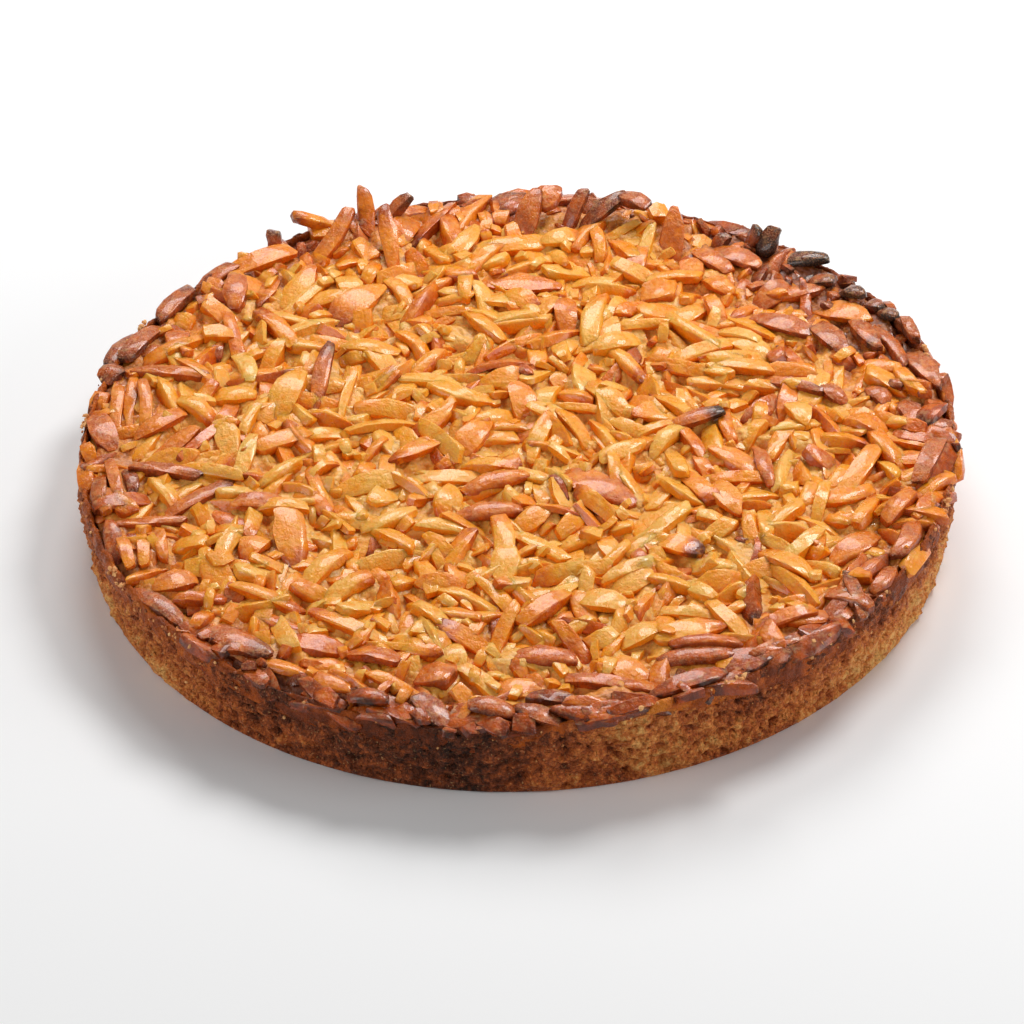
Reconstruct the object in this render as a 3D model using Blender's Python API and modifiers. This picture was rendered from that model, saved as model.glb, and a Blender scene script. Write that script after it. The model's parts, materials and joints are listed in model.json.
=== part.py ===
"""Almond tart: a crumbly pastry case filled to its lip, with a crust of slivered almonds baked on top.

Metres, +Z up. The origin is the middle of the underside, which stands at Z = 0.
Azimuths are in degrees, counter-clockwise from +X as seen from above.
"""

import math
import random

import bmesh
import bpy
import numpy as np
from mathutils import Euler, Matrix, Vector, noise

MM = 0.001

# Pastry case
BASE_RADIUS = 127.0 * MM
RIM_RADIUS = 129.5 * MM
LIP_HEIGHT = 26.5 * MM
LIP_WIDTH = 2.4 * MM
LIP_DEPTH = 1.9 * MM
WALL_THICKNESS = 10.5 * MM
WALL_LEAN = 1.5 * MM
FLOOR_THICKNESS = 6.0 * MM
SHELF_HEIGHT = 21.5 * MM
FOOT_ROUNDING = 0.9 * MM
CASE_SEGMENTS = 120
WALL_ROWS = 6
CRUMB_DEPTH = 1.5 * MM
CRUMB_SIZE = 9.0 * MM

# The lip isn't level: azimuth in degrees and height in metres
LIP_LEVELS = (
    (0, 27.0 * MM),
    (22, 26.5 * MM),
    (42, 24.0 * MM),
    (60, 22.5 * MM),
    (76, 24.0 * MM),
    (95, 23.5 * MM),
    (112, 24.5 * MM),
    (128, 23.5 * MM),
    (142, 25.0 * MM),
    (162, 26.5 * MM),
    (185, 26.0 * MM),
    (218, 25.0 * MM),
    (262, 24.0 * MM),
    (288, 28.0 * MM),
    (322, 28.0 * MM),
)
# The case was pushed a little out of round while it was soft
OVAL_SHARE = 0.008
OVAL_AZIMUTH = 170

# Filling, kept a little clear of the case
CLEARANCE = 0.35 * MM
EDGE_DEPTH = 0.8 * MM
BED_MIDDLE = 23.6 * MM
BED_EDGE = 25.4 * MM
BED_BUMP = 1.1 * MM
BED_BUMP_SIZE = 13.0 * MM
BED_RINGS = 5
FILLING_SEGMENTS = 60

# Almonds laid by rule: lengths, widths and thicknesses are shortest and longest, angles in degrees
RIM_COUNT = 34
ALONG_LIP_SHARE = 0.6
RIM_RISE = (5, 26)
ALMOND_COUNT = 146
ALMOND_SEED = 41
ALMOND_LENGTH = (15 * MM, 23 * MM)
ALMOND_WIDTH = (4.6 * MM, 6.8 * MM)
ALMOND_THICKNESS = (3.0 * MM, 4.4 * MM)
ALMOND_SLOPE = 11
ALMOND_ROLL = 18
FLAKE_SHARE = 0.2
FLAKE_SIZE = (1.15, 1.45, 0.75)
FLAKE_SIDES = 7
LAY_RADIUS = 125 * MM
OVERHANG = 1.5 * MM
SUNK_SHARE = 0.22
PLACES_TRIED = 14
CELL = 1.5 * MM

# Almonds that stand out, in millimetres: from x, y to x, y, width, and the rise of the far end.
# They are the raised tips along the back, the burnt ones at the back right, and the largest flakes.
STANDING_OUT = (
    (-46, 110, -47, 121, 5.5, 11),
    (-74, 102, -74, 106, 4.5, 7),
    (-37, 88, -40, 110, 5.5, 10),
    (-62, 95, -50, 113, 5.5, 8),
    (-39, 115, -32, 119, 5.0, 6),
    (-89, 90, -68, 100, 8.0, 0),
    (-98, 82, -108, 65, 6.0, 1),
    (-114, 62, -123, 45, 5.5, 2),
    (-126, 24, -121, 2, 8.0, 1),
    (-56, 62, -40, 80, 12.0, 2),
    (-60, 19, -57, 46, 5.5, 7),
    (1, 104, 8, 118, 8.0, 9),
    (16, 108, 22, 118, 4.5, 9),
    (20, 108, 35, 116, 6.5, 7),
    (48, 94, 50, 109, 7.5, 9),
    (61, 98, 74, 84, 7.5, 1),
    (76, 92, 80, 97, 6.5, 6),
    (80, 90, 96, 84, 7.5, 3),
    (89, 78, 97, 73, 7.0, 4),
    (99, 70, 105, 62, 6.5, 4),
    (109, 60, 114, 52, 6.0, 4),
    (71, 62, 89, 48, 7.5, 1),
    (88, 58, 98, 38, 8.0, 2),
    (100, 57, 109, 37, 7.0, 3),
    (117, 38, 125, 17, 7.0, 2),
    (-10, 84, 14, 77, 9.0, 1),
    (38, 74, 49, 74, 11.0, 1),
    (43, 6, 60, 10, 6.0, 3),
    (-65, -54, -68, -32, 10.0, 5),
    (-113, -60, -97, -78, 6.5, 1),
    (-91, -80, -72, -95, 9.0, 1),
    (12, -11, 32, -31, 11.0, 2),
    (36, -102, 59, -103, 7.5, 1),
    (-5, -96, 14, -101, 8.0, 1),
    (33, -118, 56, -112, 6.5, 2),
    (-31, -104, -21, -107, 10.0, 2),
    (87, -63, 101, -49, 9.0, 2),
    (118, -47, 111, -67, 6.0, 2),
    (-17, -118, -4, -124, 7.0, -1),
    (-4, -121, 9, -126, 6.5, -2),
)

CRUST_BROWN = (0.36, 0.16, 0.055, 1.0)
ALMOND_GOLD = (0.72, 0.36, 0.09, 1.0)


def clear_scene():
    for obj in list(bpy.data.objects):
        bpy.data.objects.remove(obj)


def collection_named(name, hidden=False):
    made = bpy.data.collections.new(name)
    made.hide_render = hidden
    bpy.context.scene.collection.children.link(made)
    return made


def material_named(name, colour, roughness):
    made = bpy.data.materials.new(name)
    made.use_nodes = True
    shader = made.node_tree.nodes["Principled BSDF"]
    shader.inputs["Base Color"].default_value = colour
    shader.inputs["Roughness"].default_value = roughness
    return made


def lip_share(azimuth):
    """Height of the lip at an azimuth, as a share of its mean, eased from one level to the next."""
    around = LIP_LEVELS + ((LIP_LEVELS[0][0] + 360, LIP_LEVELS[0][1]),)
    for (start, low), (end, high) in zip(around, around[1:]):
        if start <= azimuth <= end:
            share = (azimuth - start) / (end - start)
            return (low + (high - low) * share * share * (3 - 2 * share)) / LIP_HEIGHT
    return 1.0


def height_share(x, y):
    """How much higher or lower than the mean the tart is at a place: nothing in the middle."""
    azimuth = math.degrees(math.atan2(y, x)) % 360
    return 1 + (lip_share(azimuth) - 1) * min(1.0, math.hypot(x, y) / RIM_RADIUS) ** 3


def made_uneven(point):
    """Moves a point of the round tart to where it lies on the uneven one."""
    azimuth = math.atan2(point.y, point.x)
    widening = 1 + OVAL_SHARE * math.cos(azimuth - math.radians(OVAL_AZIMUTH))
    height = point.z * height_share(point.x, point.y)
    return Vector((point.x * widening, point.y * widening, height))


def turned(name, profile, segments, collection):
    """A closed solid turned from a profile of (radius, height) that runs down its outer side."""
    mesh = bpy.data.meshes.new(name)
    corners = [(radius, 0, height) for radius, height in profile]
    mesh.from_pydata(corners, [(i, i + 1) for i in range(len(corners) - 1)], [])
    obj = bpy.data.objects.new(name, mesh)
    collection.objects.link(obj)
    screw = obj.modifiers.new("turn", "SCREW")
    screw.steps = segments
    screw.render_steps = segments
    screw.use_merge_vertices = True
    screw.merge_threshold = 1e-5
    apply_modifiers(obj)
    for vertex in obj.data.vertices:
        vertex.co = made_uneven(vertex.co)
    return obj


def apply_modifiers(obj):
    bpy.context.view_layer.update()
    evaluated = obj.evaluated_get(bpy.context.evaluated_depsgraph_get())
    mesh = bpy.data.meshes.new_from_object(evaluated)
    obj.modifiers.clear()
    obj.data = mesh


def outer_wall():
    """The wall's outside, from just under the lip down to the foot."""
    top = LIP_HEIGHT - 3 * MM
    foot = FOOT_ROUNDING
    points = []
    for row in range(WALL_ROWS + 1):
        height = top + (foot - top) * row / WALL_ROWS
        lean = (height / top) ** 0.7
        points.append((BASE_RADIUS + (RIM_RADIUS - BASE_RADIUS) * lean, height))
    return points + [(BASE_RADIUS - FOOT_ROUNDING, 0)]


def lip(grown=0.0):
    """The rounded lip, from the shelf inside it to the wall outside; grown is a margin all round."""
    middle = RIM_RADIUS - LIP_WIDTH / 2
    return [
        (RIM_RADIUS - LIP_WIDTH - grown, LIP_HEIGHT - LIP_DEPTH + grown),
        (middle - LIP_WIDTH * 0.25 - grown, LIP_HEIGHT - LIP_DEPTH * 0.3 + grown),
        (middle + LIP_WIDTH * 0.1, LIP_HEIGHT + grown),
        (RIM_RADIUS - LIP_WIDTH * 0.2 + grown, LIP_HEIGHT - LIP_DEPTH * 0.4 + grown),
    ]


def shelf_height(radius):
    """Height of the case's sloping top between its inner wall and the lip."""
    inner = RIM_RADIUS - WALL_THICKNESS
    share = (radius - inner) / (WALL_THICKNESS - LIP_WIDTH)
    return SHELF_HEIGHT + (LIP_HEIGHT - LIP_DEPTH - SHELF_HEIGHT) * share


def make_crust(collection):
    inner = RIM_RADIUS - WALL_THICKNESS
    profile = [
        (0, FLOOR_THICKNESS),
        (inner - WALL_LEAN, FLOOR_THICKNESS),
        (inner, SHELF_HEIGHT),
    ]
    profile += lip() + outer_wall() + [(0, 0)]
    crust = turned("crust", profile, CASE_SEGMENTS, collection)
    for vertex in crust.data.vertices:
        vertex.co = crumbled(vertex.co)
    crust.data.shade_smooth()
    crust.data.set_sharp_from_angle(angle=math.radians(40))
    crust.data.materials.append(material_named("baked crust", CRUST_BROWN, 0.85))
    return crust


def crumbled(point):
    """Pits and knocked-off crumbs: the outside of the wall and the lip only ever lose material."""
    radius = math.hypot(point.x, point.y)
    outside = radius > BASE_RADIUS * (1 - OVAL_SHARE) - FOOT_ROUNDING / 2
    if not outside or point.z < FOOT_ROUNDING / 2:
        return point
    lumps = noise.noise(point / CRUMB_SIZE) + 0.6 * noise.noise(point / CRUMB_SIZE * 2.7)
    depth = CRUMB_DEPTH * min(1.0, max(0.0, 0.4 + 0.9 * lumps))
    top = (LIP_HEIGHT - LIP_DEPTH) * height_share(point.x, point.y)
    if point.z > top - LIP_DEPTH / 2:
        return Vector((point.x, point.y, point.z - depth * 0.5))
    inward = 1 - depth / radius
    return Vector((point.x * inward, point.y * inward, point.z))


def bed_height(radius):
    """Height of the filling's top: a shallow dish that rises towards the lip and rounds off at it."""
    share = min(1.0, radius / LAY_RADIUS)
    rounded = EDGE_DEPTH * max(0.0, 1 - (RIM_RADIUS - radius) / LIP_WIDTH * 0.5)
    return BED_MIDDLE + (BED_EDGE - BED_MIDDLE) * share**2 - rounded


def make_filling(collection):
    inner = RIM_RADIUS - WALL_THICKNESS - CLEARANCE
    edge = RIM_RADIUS - LIP_WIDTH - CLEARANCE * 2
    rings = [edge * ((ring + 1) / BED_RINGS) ** 0.8 for ring in range(BED_RINGS)]
    profile = [(0, bed_height(0))]
    profile += [(radius, bed_height(radius)) for radius in rings]
    profile += [
        (edge, shelf_height(edge) + CLEARANCE * 1.2),
        (inner, SHELF_HEIGHT + CLEARANCE * 1.2),
        (inner - WALL_LEAN, FLOOR_THICKNESS + CLEARANCE),
        (0, FLOOR_THICKNESS + CLEARANCE),
    ]
    filling = turned("almond_filling", profile, FILLING_SEGMENTS, collection)
    for vertex in filling.data.vertices:
        if vertex.co.z > SHELF_HEIGHT and math.hypot(vertex.co.x, vertex.co.y) < edge * 0.98:
            vertex.co.z += BED_BUMP * noise.noise(vertex.co / BED_BUMP_SIZE)
    filling.data.materials.append(material_named("glazed almonds", ALMOND_GOLD, 0.4))
    return filling


class Surface:
    """The height of whatever lies on top so far, on a square grid over the tart."""

    def __init__(self):
        reach = RIM_RADIUS + 8 * MM
        ticks = np.arange(-reach, reach, CELL)
        self.x, self.y = np.meshgrid(ticks, ticks)
        radius = np.hypot(self.x, self.y)
        bed = np.vectorize(bed_height)(radius)
        on_lip = (radius > RIM_RADIUS - LIP_WIDTH) & (radius < RIM_RADIUS)
        self.height = np.where(on_lip, LIP_HEIGHT + CLEARANCE, bed)
        self.height *= np.vectorize(height_share)(self.x, self.y)

    def under(self, almond):
        along = (self.x - almond.x) * math.cos(almond.yaw) + (self.y - almond.y) * math.sin(almond.yaw)
        across = (self.y - almond.y) * math.cos(almond.yaw) - (self.x - almond.x) * math.sin(almond.yaw)
        return along, (np.abs(along) < almond.length / 2) & (np.abs(across) < almond.width / 2)

    def lay(self, almond):
        """Sinks the almond a little into what it lies on, then raises the surface by it."""
        along, covered = self.under(almond)
        bed = np.median(self.height[covered])
        almond.z = bed + almond.thickness * (0.5 - SUNK_SHARE)
        if almond.pitch:
            almond.z += abs(math.sin(almond.pitch)) * almond.length * 0.3
        top = almond.z + along * math.tan(almond.pitch) + almond.thickness / 2
        self.height[covered] = np.maximum(self.height, top)[covered]


class Almond:
    """One sliver or flake: its middle, its turn in the plane, its slope, its roll and its size."""

    def __init__(self, x, y, yaw, pitch, roll, length, width, thickness, flake):
        self.x, self.y, self.z = x, y, 0.0
        self.yaw, self.pitch, self.roll = yaw, pitch, roll
        self.length, self.width, self.thickness = length, width, thickness
        self.flake = flake

    def matrix(self):
        turn = Euler((self.roll, -self.pitch, self.yaw)).to_matrix().to_4x4()
        return Matrix.Translation((self.x, self.y, self.z)) @ turn


def standing_almonds():
    for x0, y0, x1, y1, width, rise in STANDING_OUT:
        run = math.hypot(x1 - x0, y1 - y0)
        yield Almond(
            (x0 + x1) / 2 * MM,
            (y0 + y1) / 2 * MM,
            math.atan2(y1 - y0, x1 - x0),
            math.atan2(rise, run),
            0.0,
            math.hypot(run, rise) * MM,
            width * MM,
            (2.6 if width > 7.4 else 3.2) * MM,
            width > 7.4,
        )


def rim_almonds(draw):
    """A ring of almonds over the lip: most lie along it, the others point outward and rise."""
    for number in range(RIM_COUNT):
        azimuth = math.tau * (number + draw.uniform(-0.3, 0.3)) / RIM_COUNT
        along_lip = draw.random() < ALONG_LIP_SHARE
        length = draw.uniform(*ALMOND_LENGTH)
        width = draw.uniform(*ALMOND_WIDTH)
        radius = RIM_RADIUS - (width * 0.6 if along_lip else length / 2)
        rise = draw.gauss(0, 4) if along_lip else draw.uniform(*RIM_RISE)
        yield Almond(
            radius * math.cos(azimuth),
            radius * math.sin(azimuth),
            azimuth + (math.pi / 2 if along_lip else 0) + draw.gauss(0, 0.25),
            math.radians(rise),
            math.radians(draw.gauss(0, ALMOND_ROLL)),
            length,
            width,
            draw.uniform(*ALMOND_THICKNESS),
            False,
        )


def ruled_almonds(draw, placed):
    """Almonds spread evenly: of a few drawn places, each takes the one furthest from the others."""
    for _ in range(ALMOND_COUNT):
        best, best_gap = None, -1.0
        for _ in range(PLACES_TRIED):
            radius = LAY_RADIUS * math.sqrt(draw.random())
            azimuth = draw.uniform(0, math.tau)
            place = Vector((radius * math.cos(azimuth), radius * math.sin(azimuth)))
            gap = min((place - Vector((near.x, near.y))).length for near in placed)
            if gap > best_gap:
                best, best_gap = place, gap
        flake = draw.random() < FLAKE_SHARE
        longer, wider, thicker = FLAKE_SIZE if flake else (1, 1, 1)
        almond = Almond(
            best.x,
            best.y,
            draw.uniform(0, math.tau),
            math.radians(draw.gauss(0, ALMOND_SLOPE)),
            math.radians(draw.gauss(0, ALMOND_ROLL)),
            draw.uniform(*ALMOND_LENGTH) * longer,
            draw.uniform(*ALMOND_WIDTH) * wider,
            draw.uniform(*ALMOND_THICKNESS) * thicker,
            flake,
        )
        keep_on_tart(almond)
        placed.append(almond)
        yield almond


def keep_on_tart(almond):
    """An almond near the lip is turned along it, so that it doesn't stick out into the air."""
    azimuth = math.atan2(almond.y, almond.x)
    outward = abs(math.cos(almond.yaw - azimuth)) * almond.length / 2
    if math.hypot(almond.x, almond.y) + outward > RIM_RADIUS + OVERHANG:
        almond.yaw = azimuth + math.pi / 2


def almond_mesh(almond, number):
    """A sliver is a strip that narrows to both ends, a flake is a flat oval."""
    shape = bmesh.new()
    if almond.flake:
        bmesh.ops.create_cone(
            shape, segments=FLAKE_SIDES, radius1=0.5, radius2=0.36, depth=1, cap_ends=True
        )
    else:
        bmesh.ops.create_cube(shape, size=1)
        for vertex in shape.verts:
            vertex.co.y *= 0.55 if vertex.co.x > 0 else 0.8
            vertex.co.z *= 0.7 if vertex.co.x > 0 else 0.95
    bmesh.ops.scale(shape, vec=(almond.length, almond.width, almond.thickness), verts=shape.verts)
    bmesh.ops.transform(shape, matrix=almond.matrix(), verts=shape.verts)
    mesh = bpy.data.meshes.new(f"almond_{number:03d}")
    shape.to_mesh(mesh)
    shape.free()
    return mesh


def make_almonds(collection):
    surface = Surface()
    draw = random.Random(ALMOND_SEED)
    placed = list(standing_almonds()) + list(rim_almonds(draw))
    for almond in placed:
        surface.lay(almond)
    for almond in ruled_almonds(draw, placed):
        surface.lay(almond)
    for number, almond in enumerate(placed):
        mesh = almond_mesh(almond, number)
        collection.objects.link(bpy.data.objects.new(mesh.name, mesh))


def keep_clear_of_crust(collection):
    """The space of the case and its lip with the clearance round it, which no almond may enter."""
    inner = RIM_RADIUS - WALL_THICKNESS - CLEARANCE * 0.97
    outside = [(radius + CLEARANCE, height) for radius, height in outer_wall()[:-1]]
    below = outer_wall()[-1][1] - 2 * MM
    profile = [(inner - WALL_LEAN, below), (inner, SHELF_HEIGHT + CLEARANCE * 0.97)]
    profile += lip(CLEARANCE) + outside + [(BASE_RADIUS + CLEARANCE, below)]
    profile.append(profile[0])
    return turned("keep_clear", profile, CASE_SEGMENTS, collection)


def boolean(obj, operation, operand, solver="EXACT"):
    cut = obj.modifiers.new(operation.lower(), "BOOLEAN")
    cut.operation = operation
    cut.solver = solver
    if isinstance(operand, bpy.types.Collection):
        cut.operand_type = "COLLECTION"
        cut.collection = operand
    else:
        cut.object = operand
    apply_modifiers(obj)


def keep_largest_body(obj):
    """Drops loose scraps and the inner skins of sealed hollows: only the largest outer skin stays."""
    shape = bmesh.new()
    shape.from_mesh(obj.data)
    bmesh.ops.remove_doubles(shape, verts=shape.verts, dist=1e-6)
    bmesh.ops.triangulate(shape, faces=shape.faces)
    unseen = set(shape.faces)
    bodies = []
    while unseen:
        body = set()
        waiting = [unseen.pop()]
        while waiting:
            face = waiting.pop()
            body.add(face)
            for edge in face.edges:
                # an edge with four faces is only where two skins touch
                if len(edge.link_faces) != 2:
                    continue
                for neighbour in edge.link_faces:
                    if neighbour in unseen:
                        unseen.remove(neighbour)
                        waiting.append(neighbour)
        bodies.append(body)
    bodies.sort(key=len)
    bmesh.ops.delete(shape, geom=[face for body in bodies[:-1] for face in body], context="FACES")
    shape.to_mesh(obj.data)
    shape.free()
    print(obj.name, "triangles", len(obj.data.polygons), "bodies dropped", len(bodies) - 1)


def main():
    clear_scene()
    tart = collection_named("almond tart")
    helpers = collection_named("helpers", hidden=True)
    make_crust(tart)
    filling = make_filling(tart)
    make_almonds(helpers)
    boolean(filling, "UNION", helpers)
    for obj in list(helpers.objects):
        bpy.data.objects.remove(obj)
    boolean(filling, "DIFFERENCE", keep_clear_of_crust(helpers))
    bpy.data.objects.remove(helpers.objects["keep_clear"])
    keep_largest_body(filling)


main()
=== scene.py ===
import json
import math
import random
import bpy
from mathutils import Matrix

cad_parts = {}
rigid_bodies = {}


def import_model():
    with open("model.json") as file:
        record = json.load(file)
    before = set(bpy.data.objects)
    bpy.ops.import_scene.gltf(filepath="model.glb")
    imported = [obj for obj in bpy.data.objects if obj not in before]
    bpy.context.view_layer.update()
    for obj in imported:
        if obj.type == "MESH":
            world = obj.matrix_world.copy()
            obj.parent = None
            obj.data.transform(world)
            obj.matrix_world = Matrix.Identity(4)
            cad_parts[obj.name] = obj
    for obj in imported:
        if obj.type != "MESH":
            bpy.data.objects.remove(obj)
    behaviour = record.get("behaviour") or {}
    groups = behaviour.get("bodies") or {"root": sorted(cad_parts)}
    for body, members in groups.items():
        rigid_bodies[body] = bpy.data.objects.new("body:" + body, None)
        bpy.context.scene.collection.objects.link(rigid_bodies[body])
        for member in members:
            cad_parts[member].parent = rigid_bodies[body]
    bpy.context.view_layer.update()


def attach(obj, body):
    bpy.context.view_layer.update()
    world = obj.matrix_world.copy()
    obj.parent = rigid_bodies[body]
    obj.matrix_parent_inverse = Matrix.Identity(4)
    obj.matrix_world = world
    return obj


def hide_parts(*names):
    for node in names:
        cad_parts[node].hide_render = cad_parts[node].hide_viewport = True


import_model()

from types import SimpleNamespace

import bmesh
import bpy
import numpy as np
from mathutils import Matrix, Vector, noise

mm = 0.001

# the tart's own sizes, the same as the solids'
tart = {
    "baseRadius": 127.0 * mm,
    "rimRadius": 129.5 * mm,
    "lipHeight": 26.5 * mm,
    "lipWidth": 2.4 * mm,
    "lipDepth": 1.9 * mm,
    "wallThickness": 10.5 * mm,
    "wallLean": 1.5 * mm,
    "floorThickness": 6.0 * mm,
    "shelfHeight": 21.5 * mm,
    "footRounding": 0.9 * mm,
    "ovalShare": 0.008,
    "ovalAzimuth": 170,
    # azimuth in degrees, height of the lip there
    "lipLevels": (
        (0, 27.0 * mm), (22, 26.5 * mm), (42, 24.0 * mm), (60, 22.5 * mm), (76, 24.0 * mm),
        (95, 23.5 * mm), (112, 24.5 * mm), (128, 23.5 * mm), (142, 25.0 * mm), (162, 26.5 * mm),
        (185, 26.0 * mm), (218, 25.0 * mm), (262, 24.0 * mm), (288, 28.0 * mm), (322, 28.0 * mm),
        (360, 27.0 * mm),
    ),
}


def smoothStep(low, high, value):
    share = np.clip((value - low) / (high - low), 0.0, 1.0)
    return share * share * (3 - 2 * share)


def azimuthOf(x, y):
    return np.degrees(np.arctan2(y, x)) % 360


def eased(table, azimuth):
    # value at an azimuth, eased from one row of (azimuth, value) to the next
    result = np.zeros_like(np.asarray(azimuth, float))
    for (start, low), (end, high) in zip(table, table[1:]):
        inside = (azimuth >= start) & (azimuth <= end)
        result = np.where(inside, low + (high - low) * smoothStep(start, end, azimuth), result)
    return result


def heightShare(x, y):
    # how much higher or lower than the mean the tart is: nothing in the middle
    lipShare = eased(tart["lipLevels"], azimuthOf(x, y)) / tart["lipHeight"]
    return 1 + (lipShare - 1) * np.minimum(1.0, np.hypot(x, y) / tart["rimRadius"]) ** 3


def madeUneven(x, y, z):
    turned = np.arctan2(y, x) - math.radians(tart["ovalAzimuth"])
    widening = 1 + tart["ovalShare"] * np.cos(turned)
    return x * widening, y * widening, z * heightShare(x, y)


def noiseAt(points, size, octaves=1):
    # one noise value for each point, in about -1 to 1; size is the width of its lumps
    values = np.zeros(len(points))
    for octave in range(octaves):
        places = points / (size / 2**octave) + (0, 0, 7.3 * octave)
        values += np.array([noise.noise(Vector(place)) for place in places]) / 2**octave
    return values


def cellsAt(points, size):
    # distance to the middle of the nearest of some scattered cells, about 0 to 1
    return np.array([noise.voronoi(Vector(place))[0][0] for place in points / size])


def pitsAt(points, size):
    # 0 on the skin, 1 at the middle of a pit
    return 1 - smoothStep(0.05, 0.42, cellsAt(points, size))


def ringFaces(rings, size, closed=False):
    # quads between rings of points that follow one another, all rings of one size
    faces = []
    for ring in range(rings if closed else rings - 1):
        low, high = ring * size, (ring + 1) % rings * size
        for i in range(size):
            j = (i + 1) % size
            faces.append((low + i, high + i, high + j, low + j))
    return faces


def smoothMesh(name, points, faces):
    mesh = bpy.data.meshes.new(name)
    mesh.from_pydata(points.tolist(), [], faces)
    mesh.shade_smooth()
    return mesh


def turnedMesh(name, profile, segments):
    # a closed solid turned from a profile of (radius, height) that starts and ends on the axis
    profile = np.array(profile)
    rings = profile[1:-1]
    turns = np.linspace(0, math.tau, segments, endpoint=False)
    x = (rings[:, :1] * np.cos(turns)).ravel()
    y = (rings[:, :1] * np.sin(turns)).ravel()
    points = np.column_stack(madeUneven(x, y, np.repeat(rings[:, 1], segments)))
    points = np.vstack((points, [(0, 0, profile[0, 1])], [(0, 0, profile[-1, 1])]))
    top, bottom = len(points) - 2, len(points) - 1
    last = (len(rings) - 1) * segments
    faces = ringFaces(len(rings), segments)
    for i in range(segments):
        j = (i + 1) % segments
        faces += [(top, i, j), (bottom, last + j, last + i)]
    return smoothMesh(name, points, faces)


def meshPoints(mesh):
    points = np.zeros(len(mesh.vertices) * 3)
    mesh.vertices.foreach_get("co", points)
    return points.reshape(-1, 3)


def setPoints(mesh, points):
    mesh.vertices.foreach_set("co", points.ravel())
    mesh.update()


def addAttribute(mesh, name, values, kind="FLOAT"):
    attribute = mesh.attributes.new(name, kind, "POINT")
    field = "vector" if kind == "FLOAT_VECTOR" else "value"
    attribute.data.foreach_set(field, np.asarray(values, float).ravel())


def addPiece(mesh, material, slotName, *nodes):
    piece = bpy.data.objects.new(mesh.name, mesh)
    bpy.context.scene.collection.objects.link(piece)
    if material.name not in mesh.materials:
        mesh.materials.clear()
        mesh.materials.append(material)
    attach(piece, "root")
    if nodes:
        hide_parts(*nodes)
    print(piece.name, len(mesh.polygons), "faces")


def meshFrom(shape, name):
    # the bmesh as a plain mesh
    mesh = bpy.data.meshes.new(name)
    shape.to_mesh(mesh)
    shape.free()
    return mesh


def shapesOf(name, meshes):
    # a collection of the shapes that grownMesh picks from
    collection = bpy.data.collections.new(name)
    for mesh in meshes:
        collection.objects.link(bpy.data.objects.new(mesh.name, mesh))
    return collection


# materials: short helpers that return the output socket of the node they add


def fillSocket(tree, socket, value):
    # links the socket where the value is another node's output, and else sets it
    if isinstance(value, bpy.types.NodeSocket):
        tree.links.new(value, socket)
    else:
        socket.default_value = value


def addNode(tree, kind, inputs, output=0, **settings):
    # a node with its settings and inputs, given back as one of its output sockets
    node = tree.nodes.new(kind)
    for name, value in settings.items():
        setattr(node, name, value)
    for name, value in inputs.items():
        fillSocket(tree, node.inputs[name], value)
    return node.outputs[output]


def sRgb(red, green, blue):
    # screen colour 0 to 255 to the linear colour that the shader wants
    linear = (
        c / 12.92 if c <= 0.04045 else ((c + 0.055) / 1.055) ** 2.4
        for c in (red / 255, green / 255, blue / 255)
    )
    return (*linear, 1)


class Recipe:
    # a material: each method adds a node and gives back its output socket

    def __init__(self, name):
        self.material = bpy.data.materials.new(name)
        self.material.use_nodes = True
        self.tree = self.material.node_tree

    def set(self, **sockets):
        shader = self.tree.nodes["Principled BSDF"]
        for name, value in sockets.items():
            fillSocket(self.tree, shader.inputs[name.replace("_", " ")], value)

    def add(self, kind, inputs, output=0, **settings):
        return addNode(self.tree, "ShaderNode" + kind, inputs, output, **settings)

    def sums(self, operation, *values, clamp=False):
        return self.add("Math", dict(enumerate(values)), operation=operation, use_clamp=clamp)

    def product(self, first, *others):
        for other in others:
            first = self.sums("MULTIPLY", first, other)
        return first

    def total(self, start, *parts, shift=0.0, clamp=True):
        # start plus each part times its weight, plus the shift
        for part, weight in parts:
            start = self.sums("MULTIPLY_ADD", part, weight, start)
        return self.sums("ADD", start, shift, clamp=clamp)

    def vectors(self, operation, a, b):
        return self.add("VectorMath", {0: a, 1: b}, operation=operation)

    def attribute(self, name, output="Fac"):
        return self.add("Attribute", {}, output, attribute_name=name)

    def place(self):
        return self.add("TexCoord", {}, "Object")

    def noise(self, place, size, detail=3.0, roughness=0.55):
        inputs = {"Vector": place, "Scale": 1 / size, "Detail": detail, "Roughness": roughness}
        return self.add("TexNoise", inputs, "Fac")

    def cells(self, place, size):
        return self.add("TexVoronoi", {"Vector": place, "Scale": 1 / size}, "Distance")

    def between(self, value, low, high, toLow=0.0, toHigh=1.0):
        limits = {"From Min": low, "From Max": high, "To Min": toLow, "To Max": toHigh}
        inputs = {"Value": value, **limits}
        return self.add("MapRange", inputs, "Result", interpolation_type="SMOOTHSTEP")

    def ramp(self, value, stops):
        # stops are places on the ramp and their screen colours
        node = self.tree.nodes.new("ShaderNodeValToRGB")
        elements = node.color_ramp.elements
        while len(elements) < len(stops):
            elements.new(0.5)
        for element, (place, colour) in zip(elements, stops):
            element.position = place
            element.color = sRgb(*colour)
        fillSocket(self.tree, node.inputs["Fac"], value)
        return node.outputs["Color"]

    def mix(self, share, a, b, blend="MIX"):
        return self.add("Mix", {0: share, 6: a, 7: b}, 2, data_type="RGBA", blend_type=blend)

    def bumps(self, *layers):
        # bumps over one another, each a height, a strength, a depth and whether it is pressed in
        under = {}
        for height, strength, distance, *pressed in layers:
            inputs = {"Height": height, "Strength": strength, "Distance": distance, **under}
            under = {"Normal": self.add("Bump", inputs, "Normal", invert=bool(pressed))}
        return under["Normal"]


# pastry case

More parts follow.
